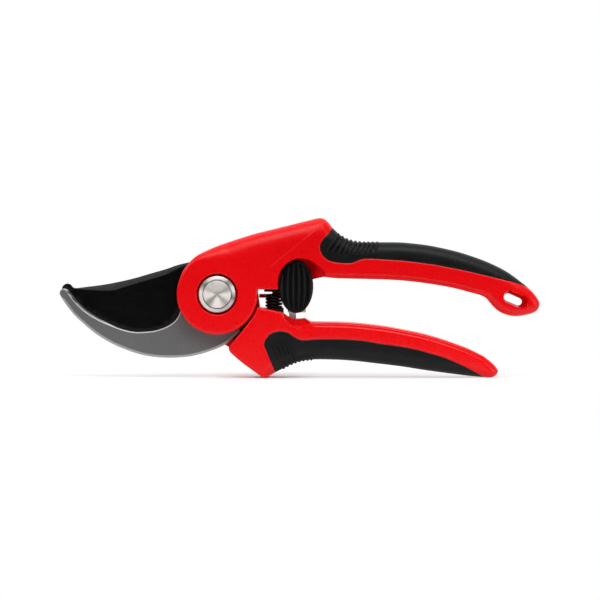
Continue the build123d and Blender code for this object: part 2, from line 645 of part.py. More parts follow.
# Lock slide: web in the upper handle, leg and toe down into the lower handle
with BuildPart() as lock_slide:
    with BuildSketch(side(-SLIDE_HALF)):
        with Locations((SLIDE_LEFT, SLIDE_LOW)):
            Rectangle(SLIDE_WIDE, SLIDE_TOP - SLIDE_LOW, align=(Align.MIN, Align.MIN))
        with Locations((LEG_LEFT, TOE_LOW)):
            Rectangle(LEG_WIDE, SLIDE_LOW - TOE_LOW, align=(Align.MIN, Align.MIN))
            Rectangle(TOE_TIP - LEG_LEFT, TOE_THICK, align=(Align.MIN, Align.MIN))
        with Locations((LOCK_U, STEM_W)):
            Circle(LOCK_SCREW_R, mode=Mode.SUBTRACT)
    extrude(amount=2 * SLIDE_HALF)
lock_slide.part.label = "lock_slide"
export_step(lock_slide.part, "parts/lock_slide.step")

# Lock button: ridged oval for the thumb, with a stem to the slide
with BuildPart() as lock_button:
    with BuildSketch(side(BUTTON_BACK)):
        with Locations((LOCK_U, LOCK_W)):
            Ellipse(LOCK_HALF_U, LOCK_HALF_W)
    extrude(amount=BUTTON_THICK)
    fillet(lock_button.edges().sort_by(Axis.Y)[0], 0.8)
    with BuildSketch(side(BUTTON_FACE - RIDGE_DEPTH)):
        with Locations((LOCK_U, LOCK_W)):
            with GridLocations(RIDGE_PITCH, 1, 5, 1):
                Rectangle(RIDGE_PITCH - RIDGE_WIDE, 2 * LOCK_HALF_W - 5.0)
    extrude(amount=RIDGE_DEPTH, mode=Mode.SUBTRACT)
    with BuildSketch(side(SLIDE_HALF)):
        with Locations((LOCK_U, STEM_W)):
            Rectangle(2 * STEM_HALF, 2 * STEM_HALF)
    extrude(amount=BUTTON_BACK - SLIDE_HALF)
    with BuildSketch(side(SLIDE_HALF)):
        with Locations((LOCK_U, STEM_W)):
            Circle(LOCK_SCREW_R)
    extrude(amount=BUTTON_BACK - SLIDE_HALF, mode=Mode.SUBTRACT)
lock_button.part.label = "lock_button"
export_step(lock_button.part, "parts/lock_button.step")

# Plate behind, which holds the slide in the handle
with BuildPart() as lock_plate:
    with BuildSketch(side(-BUTTON_FACE)):
        with Locations((LOCK_U, LOCK_W)):
            Ellipse(PLATE_HALF_U, PLATE_HALF_W)
    extrude(amount=BUTTON_THICK)
    fillet(lock_plate.edges().sort_by(Axis.Y)[-1], 0.8)
    with BuildSketch(side(-SLIDE_HALF)):
        with Locations((LOCK_U, STEM_W)):
            Rectangle(2 * STEM_HALF, 2 * STEM_HALF)
    extrude(amount=SLIDE_HALF - BUTTON_BACK)
    with BuildSketch(side(-SLIDE_HALF)):
        with Locations((LOCK_U, STEM_W)):
            Circle(LOCK_SCREW_R)
    extrude(amount=-HALF_THICK, mode=Mode.SUBTRACT)
    with BuildSketch(side(-BUTTON_FACE)):
        with Locations((LOCK_U, STEM_W)):
            Circle(LOCK_SCREW_HEAD_R)
    extrude(amount=LOCK_SCREW_SINK, mode=Mode.SUBTRACT)
lock_plate.part.label = "lock_plate"
export_step(lock_plate.part, "parts/lock_plate.step")

# Screw through plate, slide and button stem
with BuildPart() as lock_screw:
    with BuildSketch(side(-BUTTON_FACE + LOCK_SCREW_SINK)):
        with Locations((LOCK_U, STEM_W)):
            Circle(LOCK_SCREW_HEAD_R)
    extrude(amount=-LOCK_SCREW_SINK)
    with BuildSketch(side(-BUTTON_FACE + LOCK_SCREW_SINK)):
        with Locations((LOCK_U, STEM_W)):
            Circle(LOCK_SCREW_R)
    extrude(amount=BUTTON_FACE - LOCK_SCREW_SINK + BUTTON_BACK)
    with BuildSketch(side(-BUTTON_FACE)):
        with Locations((LOCK_U, STEM_W)):
            RegularPolygon(1.1, 6)
    extrude(amount=0.9, mode=Mode.SUBTRACT)
lock_screw.part.label = "lock_screw"
export_step(lock_screw.part, "parts/lock_screw.step")

# Leaf spring over the slide, which holds it at either end of its travel
with BuildPart() as lock_leaf:
    with BuildSketch(side(-SLIDE_HALF)):
        with BuildLine():
            left = (SLIDE_LEFT, SLIDE_TOP + LEAF_RISE)
            right = (SLIDE_LEFT + SLIDE_WIDE + LOCK_TRAVEL, SLIDE_TOP + LEAF_RISE)
            middle = (SLIDE_LEFT + (SLIDE_WIDE + LOCK_TRAVEL) / 2, SLIDE_TOP + RUN_CLEAR)
            below = ThreePointArc(left, middle, right)
            above = ThreePointArc((right[0], right[1] + LEAF_THICK), (middle[0], middle[1] + LEAF_THICK),
                                  (left[0], left[1] + LEAF_THICK))
            Line(below @ 1, above @ 0)
            Line(above @ 1, below @ 0)
        make_face()
    extrude(amount=2 * SLIDE_HALF)
lock_leaf.part.label = "lock_leaf"
export_step(lock_leaf.part, "parts/lock_leaf.step")

# Dowels through the tangs
with BuildPart() as hook_dowel_near:
    with BuildSketch(side(-DOWEL_HALF)):
        with Locations(HOOK_DOWELS[0]):
            Circle(DOWEL_R)
    extrude(amount=2 * DOWEL_HALF)
hook_dowel_near.part.label = "hook_dowel_near"
export_step(hook_dowel_near.part, "parts/hook_dowel_near.step")

with BuildPart() as hook_dowel_far:
    with BuildSketch(side(-DOWEL_HALF)):
        with Locations(HOOK_DOWELS[1]):
            Circle(DOWEL_R)
    extrude(amount=2 * DOWEL_HALF)
hook_dowel_far.part.label = "hook_dowel_far"
export_step(hook_dowel_far.part, "parts/hook_dowel_far.step")

with BuildPart() as blade_dowel_near:
    with BuildSketch(side(-DOWEL_HALF)):
        with Locations(BLADE_DOWELS[0]):
            Circle(DOWEL_R)
    extrude(amount=2 * DOWEL_HALF)
blade_dowel_near.part.label = "blade_dowel_near"
export_step(blade_dowel_near.part, "parts/blade_dowel_near.step")

with BuildPart() as blade_dowel_far:
    with BuildSketch(side(-DOWEL_HALF)):
        with Locations(BLADE_DOWELS[1]):
            Circle(DOWEL_R)
    extrude(amount=2 * DOWEL_HALF)
blade_dowel_far.part.label = "blade_dowel_far"
export_step(blade_dowel_far.part, "parts/blade_dowel_far.step")
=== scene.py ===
import json
import math

import bmesh
import bpy
import numpy as np
from bpy.props import FloatProperty, FloatVectorProperty, IntProperty, PointerProperty
from bpy.types import Operator, Panel, PropertyGroup
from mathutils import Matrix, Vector
from mathutils.geometry import delaunay_2d_cdt


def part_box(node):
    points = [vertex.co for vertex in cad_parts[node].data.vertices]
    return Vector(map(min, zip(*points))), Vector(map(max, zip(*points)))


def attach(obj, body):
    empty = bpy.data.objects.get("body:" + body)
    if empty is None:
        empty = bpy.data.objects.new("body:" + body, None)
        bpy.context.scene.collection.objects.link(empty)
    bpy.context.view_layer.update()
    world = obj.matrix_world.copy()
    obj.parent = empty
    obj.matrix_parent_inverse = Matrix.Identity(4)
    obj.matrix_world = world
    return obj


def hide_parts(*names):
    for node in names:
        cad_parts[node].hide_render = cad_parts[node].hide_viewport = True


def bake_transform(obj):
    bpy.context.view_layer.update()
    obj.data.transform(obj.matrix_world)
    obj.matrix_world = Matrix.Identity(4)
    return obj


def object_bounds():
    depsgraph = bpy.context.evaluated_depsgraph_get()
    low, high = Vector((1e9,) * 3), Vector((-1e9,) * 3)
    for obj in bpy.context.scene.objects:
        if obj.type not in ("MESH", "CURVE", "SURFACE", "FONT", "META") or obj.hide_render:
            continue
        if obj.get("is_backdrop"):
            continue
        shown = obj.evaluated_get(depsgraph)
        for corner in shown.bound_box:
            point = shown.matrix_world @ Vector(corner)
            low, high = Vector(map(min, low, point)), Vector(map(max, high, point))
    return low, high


bl_info = {
    "name": "Bypass pruning shears",
    "version": (1, 0, 0),
    "blender": (4, 5, 0),
    "location": "View3D > Sidebar > Shears",
    "description": "Moulded handles, soft grips, ground jaws and a studio stage for the packed shears",
    "category": "Object",
}

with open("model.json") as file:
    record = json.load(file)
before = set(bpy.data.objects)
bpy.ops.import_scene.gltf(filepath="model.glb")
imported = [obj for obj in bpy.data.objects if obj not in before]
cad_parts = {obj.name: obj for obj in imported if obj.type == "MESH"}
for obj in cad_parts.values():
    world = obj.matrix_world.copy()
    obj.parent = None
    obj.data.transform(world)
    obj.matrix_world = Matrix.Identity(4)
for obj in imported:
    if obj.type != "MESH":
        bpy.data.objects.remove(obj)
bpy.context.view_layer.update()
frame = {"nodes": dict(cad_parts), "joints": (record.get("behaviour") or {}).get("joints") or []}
NODES = frame["nodes"]
PIVOT = next(Vector(j["pos_m"]) for j in frame["joints"] if j["name"] == "handle_pivot")
MM = 0.001

# Side view in millimetres: origin at the pivot, u right, w up, f towards the viewer.
HALF_THICK = 9.0
LAP = 0.05

# Bosses and pivot
BOSS_R = 17.5
UPPER_BOSS_R = 17.3
GAP_R = 18.2
JAW_BOSS_R = 16.0
RECESS_R = 8.8
RECESS_FLOOR = 6.0
SHANK_R = 4.0
NUT_FLATS = 6.5

# Spring pockets, the guard rib behind the spring and the lower handle's slit
SPRING_U = 24.3
SPRING_ROOM = 4.3
SPRING_LEFT = SPRING_U - SPRING_ROOM
SPRING_RIGHT = SPRING_U + SPRING_ROOM
POCKET_HALF = 4.6
POCKET_RIM = (3.86, 4.22)
UPPER_POCKET_TOP = 11.3
LOWER_POCKET_FLOOR = -11.7
GUARD_RIB = [(17.9, -1.85), (27, -1.85), (27, 3), (23.5, 3), (23.5, -0.2), (17.9, -0.2)]
RIB_FAR = -7.2
SLIT_R = 26.8
SLIT_U = 16.6
SLIT_TOP = 3.75

# Lock: button, back plate, stems and the slots for its slide; the recess and scoop round it
LOCK_AT = (33.8, 2.9)
BUTTON_AT = (33.8, 3.3)
BUTTON_HALF = (7.4, 11.45)
PLATE_HALF = (6.2, 9.0)
RIDGE_FACE = 7.85
STEM_W = 8.2
STEM_HALF = 1.35
STEM_END = 1.2
SCREW_HOLE_R = 2.5
SCREW_SEAT = -7.1
STEM_WAY = [(32.2, 6.7), (39.3, 6.7), (39.3, 9.7), (32.2, 9.7)]
SLOT_HALF = 1.5
UPPER_SLOT = (29.9, 42.3, 13)
LOWER_SLOT = [(30.2, -4), (30.2, -17), (41.8, -17), (41.8, -14.4), (38.8, -14.4), (38.8, -4)]
WELL_WALL = 0.6
WELL_FLOOR = 3.7
WELL_RISE = 4.3
WELL_RISE_FROM = 39.2
WELL_RISE_OVER = 8.0
SCOOP_AT = (35.2, -3.4)
SCOOP_HALF = (8.6, 11.4)
SCOOP_DEPTH = 4.1
SCOOP_STEP = 0.1
CREASE_START = (45.5, 30.4)
CREASE_TOWARDS = (24.5, 13.2)
CREASE_END = (21.5, 10.75)
CREASE_DEPTH = 0.22
CREASE_STEP = 0.4
CREASE_LENGTH = 32.0

# Hanging hole: a slim throat within a wider mouth
HANG_AT = (127.0, -2.4)
HANG_HALF = 2.46
HANG_R = 1.62
MOUTH_AT = (128.15, -2.3)
MOUTH_HALF = 2.85
MOUTH_R = 2.85
HANG_TILT = math.radians(-24.0)
FLARE_DEPTH = 5.2

# Grips: depth of the bed between the thumb ribs, and how far a rib's ends sink in
RIB_BED = 0.5
RIB_SINK = 1.0

# Jaws
HOOK_EYE_R = 5.05
BLADE_EYE_R = 5.1
HOOK_FACE = 3.45
BLADE_REAR = -3.05
BAND_WIDTH = 1.7

# Stage: the middle of the picture, and the foot that stands on the floor
VIEW_AT = (35.5, -2.7)
FOOT_U = 20.5

# Where plans are finer: shares of an edge's rounding, and distances from a seam and within a grooved edge
EDGE_SHARES = (0.035, 0.13, 0.28, 0.47, 0.72, 1.0)
SEAM_GAPS = (-0.6, -0.3, -0.13, 0.13, 0.3, 0.6)
GROOVE_DEPTHS = (0.5, 0.8, 1.0, 1.2, 1.4, 1.6, 1.8, 2.05, 2.4)
GROOVE_AT = 1.4
GROOVE_SPREAD = 0.42

# Least share of its depth that a point within an edge must truly lie in, and points measured at once
TRULY_IN = 0.93
BATCH = 800

# Outlines of the upper handle
UPPER_CROWN = [(-16.26, 5.92), (-14.7, 9.8), (-12.1, 13.4), (-9.1, 16.2), (-5.8, 18.0), (1.1, 20.95),
               (14.8, 25.4), (25.2, 28.05), (35.5, 30.6), (42.4, 32.3)]
UPPER_HUMP = [(42.4, 32.3), (44.2, 32.55), (45.9, 32.15), (47.7, 30.65), (49.5, 28.3)]
UPPER_BACK = [(49.5, 28.3), (52.8, 25.2), (56.2, 23.1), (59.6, 22.2), (63.0, 22.1), (76.8, 22.1),
              (83.6, 21.65), (90.5, 20.8), (97.4, 19.45), (104.3, 17.75), (111.2, 15.5), (118.0, 12.8),
              (124.9, 9.15), (131.8, 4.05)]
UPPER_TAIL = [(131.8, 4.05), (135.2, 0.95), (137.4, -1.85), (138.4, -4.4), (137.4, -7.0), (135.2, -8.3),
              (131.8, -9.2), (128.4, -9.6), (124.9, -9.2), (121.5, -7.9), (118.9, -5.9), (117.2, -3.95),
              (115.4, -1.9), (112.9, -0.5)]
UPPER_INNER = [(112.9, -0.5), (107.7, 0.95), (100.8, 2.7), (94.0, 3.95), (87.1, 4.98), (80.2, 5.75),
               (73.3, 6.2), (66.4, 6.43), (59.6, 6.58), (52.7, 6.75), (49.2, 6.95), (45.8, 7.4)]
UPPER_WELL = [(45.8, 7.4), (41.1, 6.3), (33.0, 3.6), (26.1, 2.0)]
LOCK_RECESS = [(25.8, -14.0), (25.8, 1.0), (26.1, 6.8), (28.15, 11.6), (33.2, 15.1), (38.9, 14.9),
               (43.2, 12.5), (45.8, 9.9), (47.0, 7.6), (48.0, 5.0)]
UPPER_SPLIT = [(51.4, 30.3), (49.5, 28.3), (47.3, 25.6), (45.4, 23.5), (44.2, 21.4), (44.1, 19.2),
               (44.9, 17.0), (46.7, 15.1), (49.2, 13.9), (54.0, 13.25), (57.4, 13.3), (59.4, 13.9),
               (61.2, 14.7), (63.4, 15.1), (66.6, 15.1), (73.3, 14.7), (80.2, 14.2), (87.1, 13.4),
               (94.0, 12.4), (100.8, 11.1), (107.7, 9.7), (114.6, 8.05), (121.5, 6.4), (127.5, 4.9),
               (131.0, 3.7), (134.5, 1.9)]

# Outlines of the lower handle
LOWER_HEEL = [(4.9, -22.9), (5.4, -24.6), (8.0, -27.1), (11.4, -29.9), (14.8, -32.4), (18.6, -35.05)]
LOWER_FOOT = [(18.6, -35.05), (19.5, -35.65), (20.5, -35.9), (21.8, -35.45)]
LOWER_BELLY = [(21.8, -35.45), (25.2, -33.5), (28.6, -31.8), (32.0, -30.1), (35.5, -28.9), (38.9, -28.35),
               (42.4, -28.1), (45.8, -28.1), (52.7, -28.3), (59.6, -28.8), (66.4, -29.6), (73.3, -30.4),
               (80.2, -31.3), (87.1, -32.4), (94.0, -33.4), (100.8, -34.3), (107.7, -35.2), (114.6, -35.8)]
LOWER_TAIL = [(114.6, -35.8), (117.2, -35.85), (119.3, -35.2), (120.6, -33.4), (120.0, -31.9),
              (118.0, -29.6), (114.6, -26.95)]
LOWER_INNER = [(114.6, -26.95), (107.7, -23.6), (100.8, -21.0), (94.0, -18.72), (87.1, -16.9),
               (80.2, -15.5), (73.3, -14.22), (66.4, -13.3), (59.6, -12.6), (52.7, -12.2), (45.8, -12.1),
               (40.2, -12.0)]
LOWER_LIP = [(40.2, -12.0), (37.5, -10.4)]
LOWER_SCOOP = [(37.5, -10.4), (36.0, -10.65), (34.2, -10.75), (32.0, -10.4), (29.9, -9.4), (28.0, -7.8)]
LOWER_SPLIT = [(26.4, -37.2), (24.9, -33.5), (20.9, -24.0), (20.1, -21.8), (20.9, -19.2), (23.2, -16.8),
               (26.9, -15.8), (30.2, -16.4), (32.8, -18.1), (35.6, -19.5), (38.6, -19.6), (42.4, -19.3),
               (49.2, -19.2), (56.1, -19.4), (63.0, -20.0), (69.9, -21.2), (76.8, -22.1), (83.6, -23.3),
               (90.5, -25.1), (97.4, -27.2), (104.3, -30.2), (107.7, -31.9), (111.2, -33.8), (117.0, -37.4)]

# Outlines of the jaws
HOOK_INNER = [(-65.9, 2.35), (-64.7, 1.3), (-63.2, -0.75), (-61.0, -3.6), (-57.0, -7.4), (-52.7, -10.2),
              (-48.4, -12.4), (-44.1, -14.1), (-39.8, -15.55), (-35.5, -16.4), (-31.2, -16.35),
              (-26.9, -15.85), (-22.4, -14.4), (-18.9, -12.3), (-16.8, -9.8), (-15.9, -7.4)]
HOOK_OUTER = [(9.7, -16.3), (8.0, -18.0), (4.5, -21.0), (1.1, -22.9), (-2.4, -24.3), (-5.8, -25.4),
              (-9.2, -26.3), (-12.7, -26.95), (-18.7, -27.4), (-25.6, -27.2), (-32.5, -26.1),
              (-39.3, -23.9), (-46.2, -20.8), (-53.1, -16.4), (-60.0, -10.4), (-63.4, -6.6),
              (-66.9, -1.7)]
HOOK_TIP = [(-66.9, -1.7), (-67.55, -0.2), (-67.6, 0.9), (-67.0, 1.9), (-65.9, 2.35)]
HOOK_TANG = [(22.0, 21.4), (46.0, 21.5), (62.0, 17.2), (62.0, 12.2), (46.0, 15.4), (22.0, 15.2)]
BLADE_EDGE = [(-9.0, -14.2), (-20.0, -18.3), (-32.0, -20.6), (-44.0, -18.4), (-55.0, -12.2), (-62.0, -5.0),
              (-66.9, 2.0)]
BLADE_NOSE = [(-66.9, 2.0), (-66.7, 2.9), (-65.9, 3.9), (-64.5, 4.35), (-63.3, 3.95), (-62.6, 3.25),
              (-62.1, 2.65)]
BLADE_SPINE = [(-61.4, 2.45), (-60.3, 2.42), (-56.5, 2.9), (-49.7, 3.75), (-42.8, 5.0), (-35.9, 6.6),
               (-29.0, 8.6), (-22.1, 10.6), (-16.1, 12.6), (-6.0, 14.8)]
BLADE_FACET = [(-61.6, 2.1), (-55.7, 1.6), (-49.0, 1.3), (-44.1, 1.6), (-39.8, 2.9), (-31.2, 5.5),
               (-22.6, 8.0), (-18.3, 10.1), (-14.4, 11.9), (-6.0, 15.6)]
BLADE_TANG = [(18.0, -13.4), (29.0, -18.8), (62.0, -17.6), (62.0, -23.4), (30.0, -25.8), (12.0, -23.0),
              (2.0, -17.5)]

# Painted reflection on the turned steel: dark wedges painted into its colour, each with its middle and half
# width in degrees about the pivot, and depth.
BOLT_PAINTED_REFLECTION = [(57, 66, 0.4), (123, 62, 0.37), (24, 26, 0.42), (152, 22, 0.28), (-135, 36, 0.73),
               (-45, 34, 0.62), (-90, 30, 0.09)]
RING_PAINTED_REFLECTION = [(143, 30, 0.85), (45, 24, 0.78), (-50, 60, 0.36), (-111, 75, 0.22), (-10, 24, 0.72),
               (-72, 32, 0.1)]


def at(points, depth):
    """Row-frame metres of side-view points at a depth f."""
    points = np.asarray(points, float)
    depth = np.broadcast_to(depth, points.shape[:-1])
    u, w = points[..., 0], points[..., 1]
    return np.stack([PIVOT.x + u * MM, PIVOT.y - depth * MM, PIVOT.z + w * MM], -1)


def smooth_run(points, step=0.8):
    """A smooth line through given points, with a point every step or so."""
    p = np.array(points, float)
    q = np.vstack([2 * p[0] - p[1], p, 2 * p[-1] - p[-2]])
    found = []
    for a, b, c, d in zip(q, q[1:], q[2:], q[3:]):
        count = max(1, math.ceil(np.linalg.norm(c - b) / step))
        t = (np.arange(count) / count)[:, None]
        bend = (c - a) * t + (2 * a - 5 * b + 4 * c - d) * t ** 2 + (3 * b - a - 3 * c + d) * t ** 3
        found.append(b + 0.5 * bend)
    return np.vstack([*found, p[-1:]])


def straight_run(points, step=1.2):
    """Straight lines through points, cut every step or so."""
    p = np.array(points, float)
    found = []
    for a, b in zip(p, p[1:]):
        count = max(1, math.ceil(np.linalg.norm(b - a) / step))
        found.append(a + (b - a) * (np.arange(count) / count)[:, None])
    return np.vstack([*found, p[-1:]])


def closed_run(points):
    """A closed line of straight sides, without its last point."""
    return straight_run([*points, points[0]])[:-1]


def open_box(left, right, mouth, end):
    """Three sides of a box that is open at its mouth."""
    return straight_run([(left, mouth), (left, end), (right, end), (right, mouth)])


def on_circle(radius, degrees):
    """A point on a circle about the pivot."""
    return radius * np.array((math.cos(math.radians(degrees)), math.sin(math.radians(degrees))))


def arc_run(radius, start, end, step=0.8, centre=(0.0, 0.0)):
    """Part of a circle from one angle to another, in degrees."""
    count = max(3, math.ceil(abs(math.radians(end - start)) * radius / step))
    angle = np.radians(np.linspace(start, end, count + 1))
    return np.array(centre) + radius * np.stack([np.cos(angle), np.sin(angle)], -1)


def circle(radius, step=0.8, centre=(0.0, 0.0)):
    """A closed circle, without its last point."""
    return arc_run(radius, 0, 360, step, centre)[:-1]


def oval_run(centre, half, step=0.8):
    """A closed oval, without its last point."""
    count = math.ceil(2 * math.pi * max(half) / step)
    angle = np.arange(count) * 2 * math.pi / count
    return np.array(centre) + np.stack([half[0] * np.cos(angle), half[1] * np.sin(angle)], -1)


def nearest(points, line, closed=True):
    """Distance of each point from a line, and the index of the nearest place on it."""
    a = line if closed else line[:-1]
    along = (np.roll(line, -1, 0) if closed else line[1:]) - a
    length = np.maximum((along ** 2).sum(1), 1e-12)
    distance, place = np.empty(len(points)), np.empty(len(points))
    for start in range(0, len(points), BATCH):
        batch = slice(start, start + BATCH)
        part = points[batch, None, :] - a[None]
        t = np.clip((part * along).sum(2) / length, 0, 1)
        gap = ((part - t[..., None] * along) ** 2).sum(2)
        best = gap.argmin(1)
        rows = np.arange(len(part))
        distance[batch] = np.sqrt(gap[rows, best])
        place[batch] = best + t[rows, best]
    return distance, place


def inside(points, loop):
    """True for points within a closed line."""
    a, b = loop, np.roll(loop, -1, 0)
    rise = np.where(b[:, 1] == a[:, 1], 1e-12, b[:, 1] - a[:, 1])
    found = np.empty(len(points), bool)
    for start in range(0, len(points), BATCH):
        batch = slice(start, start + BATCH)
        x, y = points[batch, 0, None], points[batch, 1, None]
        ahead = x < (b[:, 0] - a[:, 0]) * (y - a[:, 1]) / rise + a[:, 0]
        crossed = ((a[:, 1] > y) != (b[:, 1] > y)) & ahead
        found[batch] = crossed.sum(1) % 2 == 1
    return found


def edge_of(width, depth, groove=0.0, flat=0.0):
    """How a face falls away at an edge: width and depth, a groove's depth, and from round 0 to flat 1."""
    return np.array((width, depth, groove, flat))


class Outline:
    """A closed edge made of runs, each with how the face falls away along it."""

    def __init__(self, runs, blend=5.0, step=0.8):
        points = np.vstack([line[:-1] for line, edge in runs])
        edges = np.vstack([np.tile(edge, (len(line) - 1, 1)) for line, edge in runs]).astype(float)
        reach = max(1, int(blend / step))
        window = np.arange(-reach, reach + 1)
        edges = sum(np.roll(edges, k, 0) for k in window) / len(window)
        turned = np.roll(points, -1, 0)
        if (points[:, 0] * turned[:, 1] - turned[:, 0] * points[:, 1]).sum() < 0:
            points, edges = points[::-1], edges[::-1]
        self.points, self.edges = points.copy(), edges.copy()

    def measure(self, points):
        """Signed distance inwards and the rounding that holds at each point."""
        distance, place = nearest(points, self.points)
        first = np.floor(place).astype(int) % len(self.points)
        share = (place % 1)[:, None]
        edge = self.edges[first] * (1 - share) + self.edges[(first + 1) % len(self.points)] * share
        return np.where(inside(points, self.points), distance, -distance), edge

    def rings(self, shares):
        """Points within the edge at shares of its rounding's width, and beside its groove if it has one."""
        ahead = np.roll(self.points, -1, 0) - np.roll(self.points, 1, 0)
        ahead /= np.linalg.norm(ahead, axis=1)[:, None]
        inward = np.stack([-ahead[:, 1], ahead[:, 0]], -1)
        found = []
        for share in shares:
            depth = self.edges[:, 0] * share
            spots = self.points + inward * depth[:, None]
            found.append(spots[self.measure(spots)[0] > TRULY_IN * depth])
        grooved = self.edges[:, 2] > 0.06
        if grooved.any():
            for depth in GROOVE_DEPTHS:
                spots = (self.points + inward * depth)[grooved]
                found.append(spots[self.measure(spots)[0] > TRULY_IN * depth])
        return np.vstack(found)


def drop(distance, edge):
    """How far a face falls away near its edge: a rounded or flat rim with a fine groove inside it."""
    width, depth, groove, flat = (edge[..., k] for k in range(4))
    t = np.clip(1 - distance / np.maximum(width, 1e-6), 0, 1)
    fall = depth * (flat * t + (1 - flat) * (1 - np.sqrt(np.maximum(1 - t * t, 0))))
    return fall + groove * np.exp(-((distance - GROOVE_AT) / GROOVE_SPREAD) ** 2)


def grid_in(outline, pitch, clear):
    """Staggered points that fill an outline beyond its rounding."""
    low, high = outline.points.min(0), outline.points.max(0)
    rows, columns = np.arange(low[1], high[1], pitch * 0.866), np.arange(low[0], high[0], pitch)
    spots = np.array([(u + (k % 2) * pitch / 2, w) for k, w in enumerate(rows) for u in columns])
    distance, edge = outline.measure(spots)
    return spots[distance > np.maximum(edge[:, 0] * clear, 0.7) + 0.3]


def sideways(line):
    """Directions to the left of a line at each of its points."""
    ahead = np.gradient(line, axis=0)
    ahead /= np.linalg.norm(ahead, axis=1)[:, None]
    return np.stack([-ahead[:, 1], ahead[:, 0]], -1)


def beside(line, gaps):
    """Lines beside a line, to its left where the gap is above zero."""
    return np.vstack([line + sideways(line) * gap for gap in gaps])


def thin_out(spots, lines, room):
    """Drops points that lie too close to a line."""
    for line, closed in lines:
        spots = spots[nearest(spots, line, closed)[0] > room]
    return spots


def plan(lines, spots):
    """Triangles of the side view that keep every line as edges."""
    points, edges = [], []
    for line, closed in lines:
        start = len(points)
        points += [Vector(p) for p in line]
        edges += [(start + k, start + k + 1) for k in range(len(line) - 1)]
        if closed:
            edges.append((start + len(line) - 1, start))
    points += [Vector(p) for p in spots]
    found = delaunay_2d_cdt(points, edges, [], 0, 1e-4)
    flat, triangles = np.array([p[:] for p in found[0]]), np.array(found[2])
    a, b, c = (flat[triangles[:, k]] for k in range(3))
    turn = (b[:, 0] - a[:, 0]) * (c[:, 1] - a[:, 1]) - (c[:, 0] - a[:, 0]) * (b[:, 1] - a[:, 1])
    triangles[turn < 0] = triangles[turn < 0][:, ::-1]
    return flat, triangles[np.abs(turn) > 1e-7]


def stack(name, points, triangles, levels, solid, marks=None):
    """A closed object from layers: heights at each plan point, and the triangles that each layer keeps."""
    count = len(points)
    top, bottom = levels[-1], levels[0]
    levels = [np.minimum(np.maximum(np.broadcast_to(level, count), bottom), top) for level in levels]
    none = np.zeros(len(triangles), bool)
    faces = []
    for k in range(len(levels)):
        below = solid[k - 1] if k else none
        above = solid[k] if k < len(solid) else none
        faces += (triangles[below & ~above] + k * count).tolist()
        faces += (triangles[~below & above][:, ::-1] + k * count).tolist()
    for k, kept in enumerate(solid):
        tri = triangles[kept]
        runs = np.vstack([tri[:, [0, 1]], tri[:, [1, 2]], tri[:, [2, 0]]])
        key, back = runs[:, 0] * count + runs[:, 1], runs[:, 1] * count + runs[:, 0]
        a, b = runs[~np.isin(key, back)].T
        low, high = k * count, (k + 1) * count
        faces += np.stack([a + low, b + low, b + high, a + high], -1).tolist()
    mesh = bpy.data.meshes.new(name)
    mesh.from_pydata(np.vstack([at(points, level) for level in levels]), [], faces)
    for mark, values in (marks or {}).items():
        layer = mesh.attributes.new(mark, "FLOAT", "POINT")
        layer.data.foreach_set("value", np.tile(values, len(levels)).astype(np.float32))
    return finish_mesh(name, mesh)


def finish_mesh(name, mesh, angle=34.0):
    """Merges doubles, drops loose points, smooths the shading up to an angle and links the object."""
    made = bmesh.new()
    made.from_mesh(mesh)
    bmesh.ops.remove_doubles(made, verts=made.verts, dist=1.5e-6)
    bmesh.ops.dissolve_degenerate(made, edges=made.edges, dist=1e-6)
    bmesh.ops.delete(made, geom=[v for v in made.verts if not v.link_faces], context="VERTS")
    for face in made.faces:
        face.smooth = True
    made.to_mesh(mesh)
    made.free()
    mesh.set_sharp_from_angle(angle=math.radians(angle))
    piece = bpy.data.objects.new(name, mesh)
    bpy.context.scene.collection.objects.link(piece)
    return piece


def lathe(name, profile, segments=128, reach=None, upright=None):
    """A turned piece about the pivot line or an upright line, from a profile of (radius, place along it)."""
    profile = np.array(profile, float)
    angle = np.arange(segments) * 2 * math.pi / segments
    ring = np.stack([np.cos(angle), np.sin(angle)], -1)
    limit = np.full(segments, np.inf) if reach is None else reach(angle)
    verts, faces = [], []
    for radius, place in profile:
        turned = ring * np.minimum(radius, limit)[:, None]
        if upright is None:
            verts.append(at(turned, place))
        else:
            verts.append(at(np.stack([upright + turned[:, 0], np.full(segments, place)], -1), turned[:, 1]))
    for k in range(len(profile) - 1):
        for s in range(segments):
            t = (s + 1) % segments
            low, high = k * segments, (k + 1) * segments
            faces.append((low + s, low + t, high + t, high + s))
    mesh = bpy.data.meshes.new(name)
    mesh.from_pydata(np.vstack(verts), [], faces)
    made = bmesh.new()
    made.from_mesh(mesh)
    bmesh.ops.remove_doubles(made, verts=made.verts, dist=1e-6)
    bmesh.ops.holes_fill(made, edges=[e for e in made.edges if e.is_boundary], sides=0)
    bmesh.ops.recalc_face_normals(made, faces=made.faces)
    made.to_mesh(mesh)
    made.free()
    return finish_mesh(name, mesh)


def settle(piece, body, slot, *nodes):
    """Lets a finished piece ride on its body and stand for its CAD nodes."""
    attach(piece, body)
    if nodes:
        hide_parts(*nodes)


def dress(piece, material):
    """One material on the whole piece."""
    piece.data.materials.clear()
    piece.data.materials.append(material)


# Materials


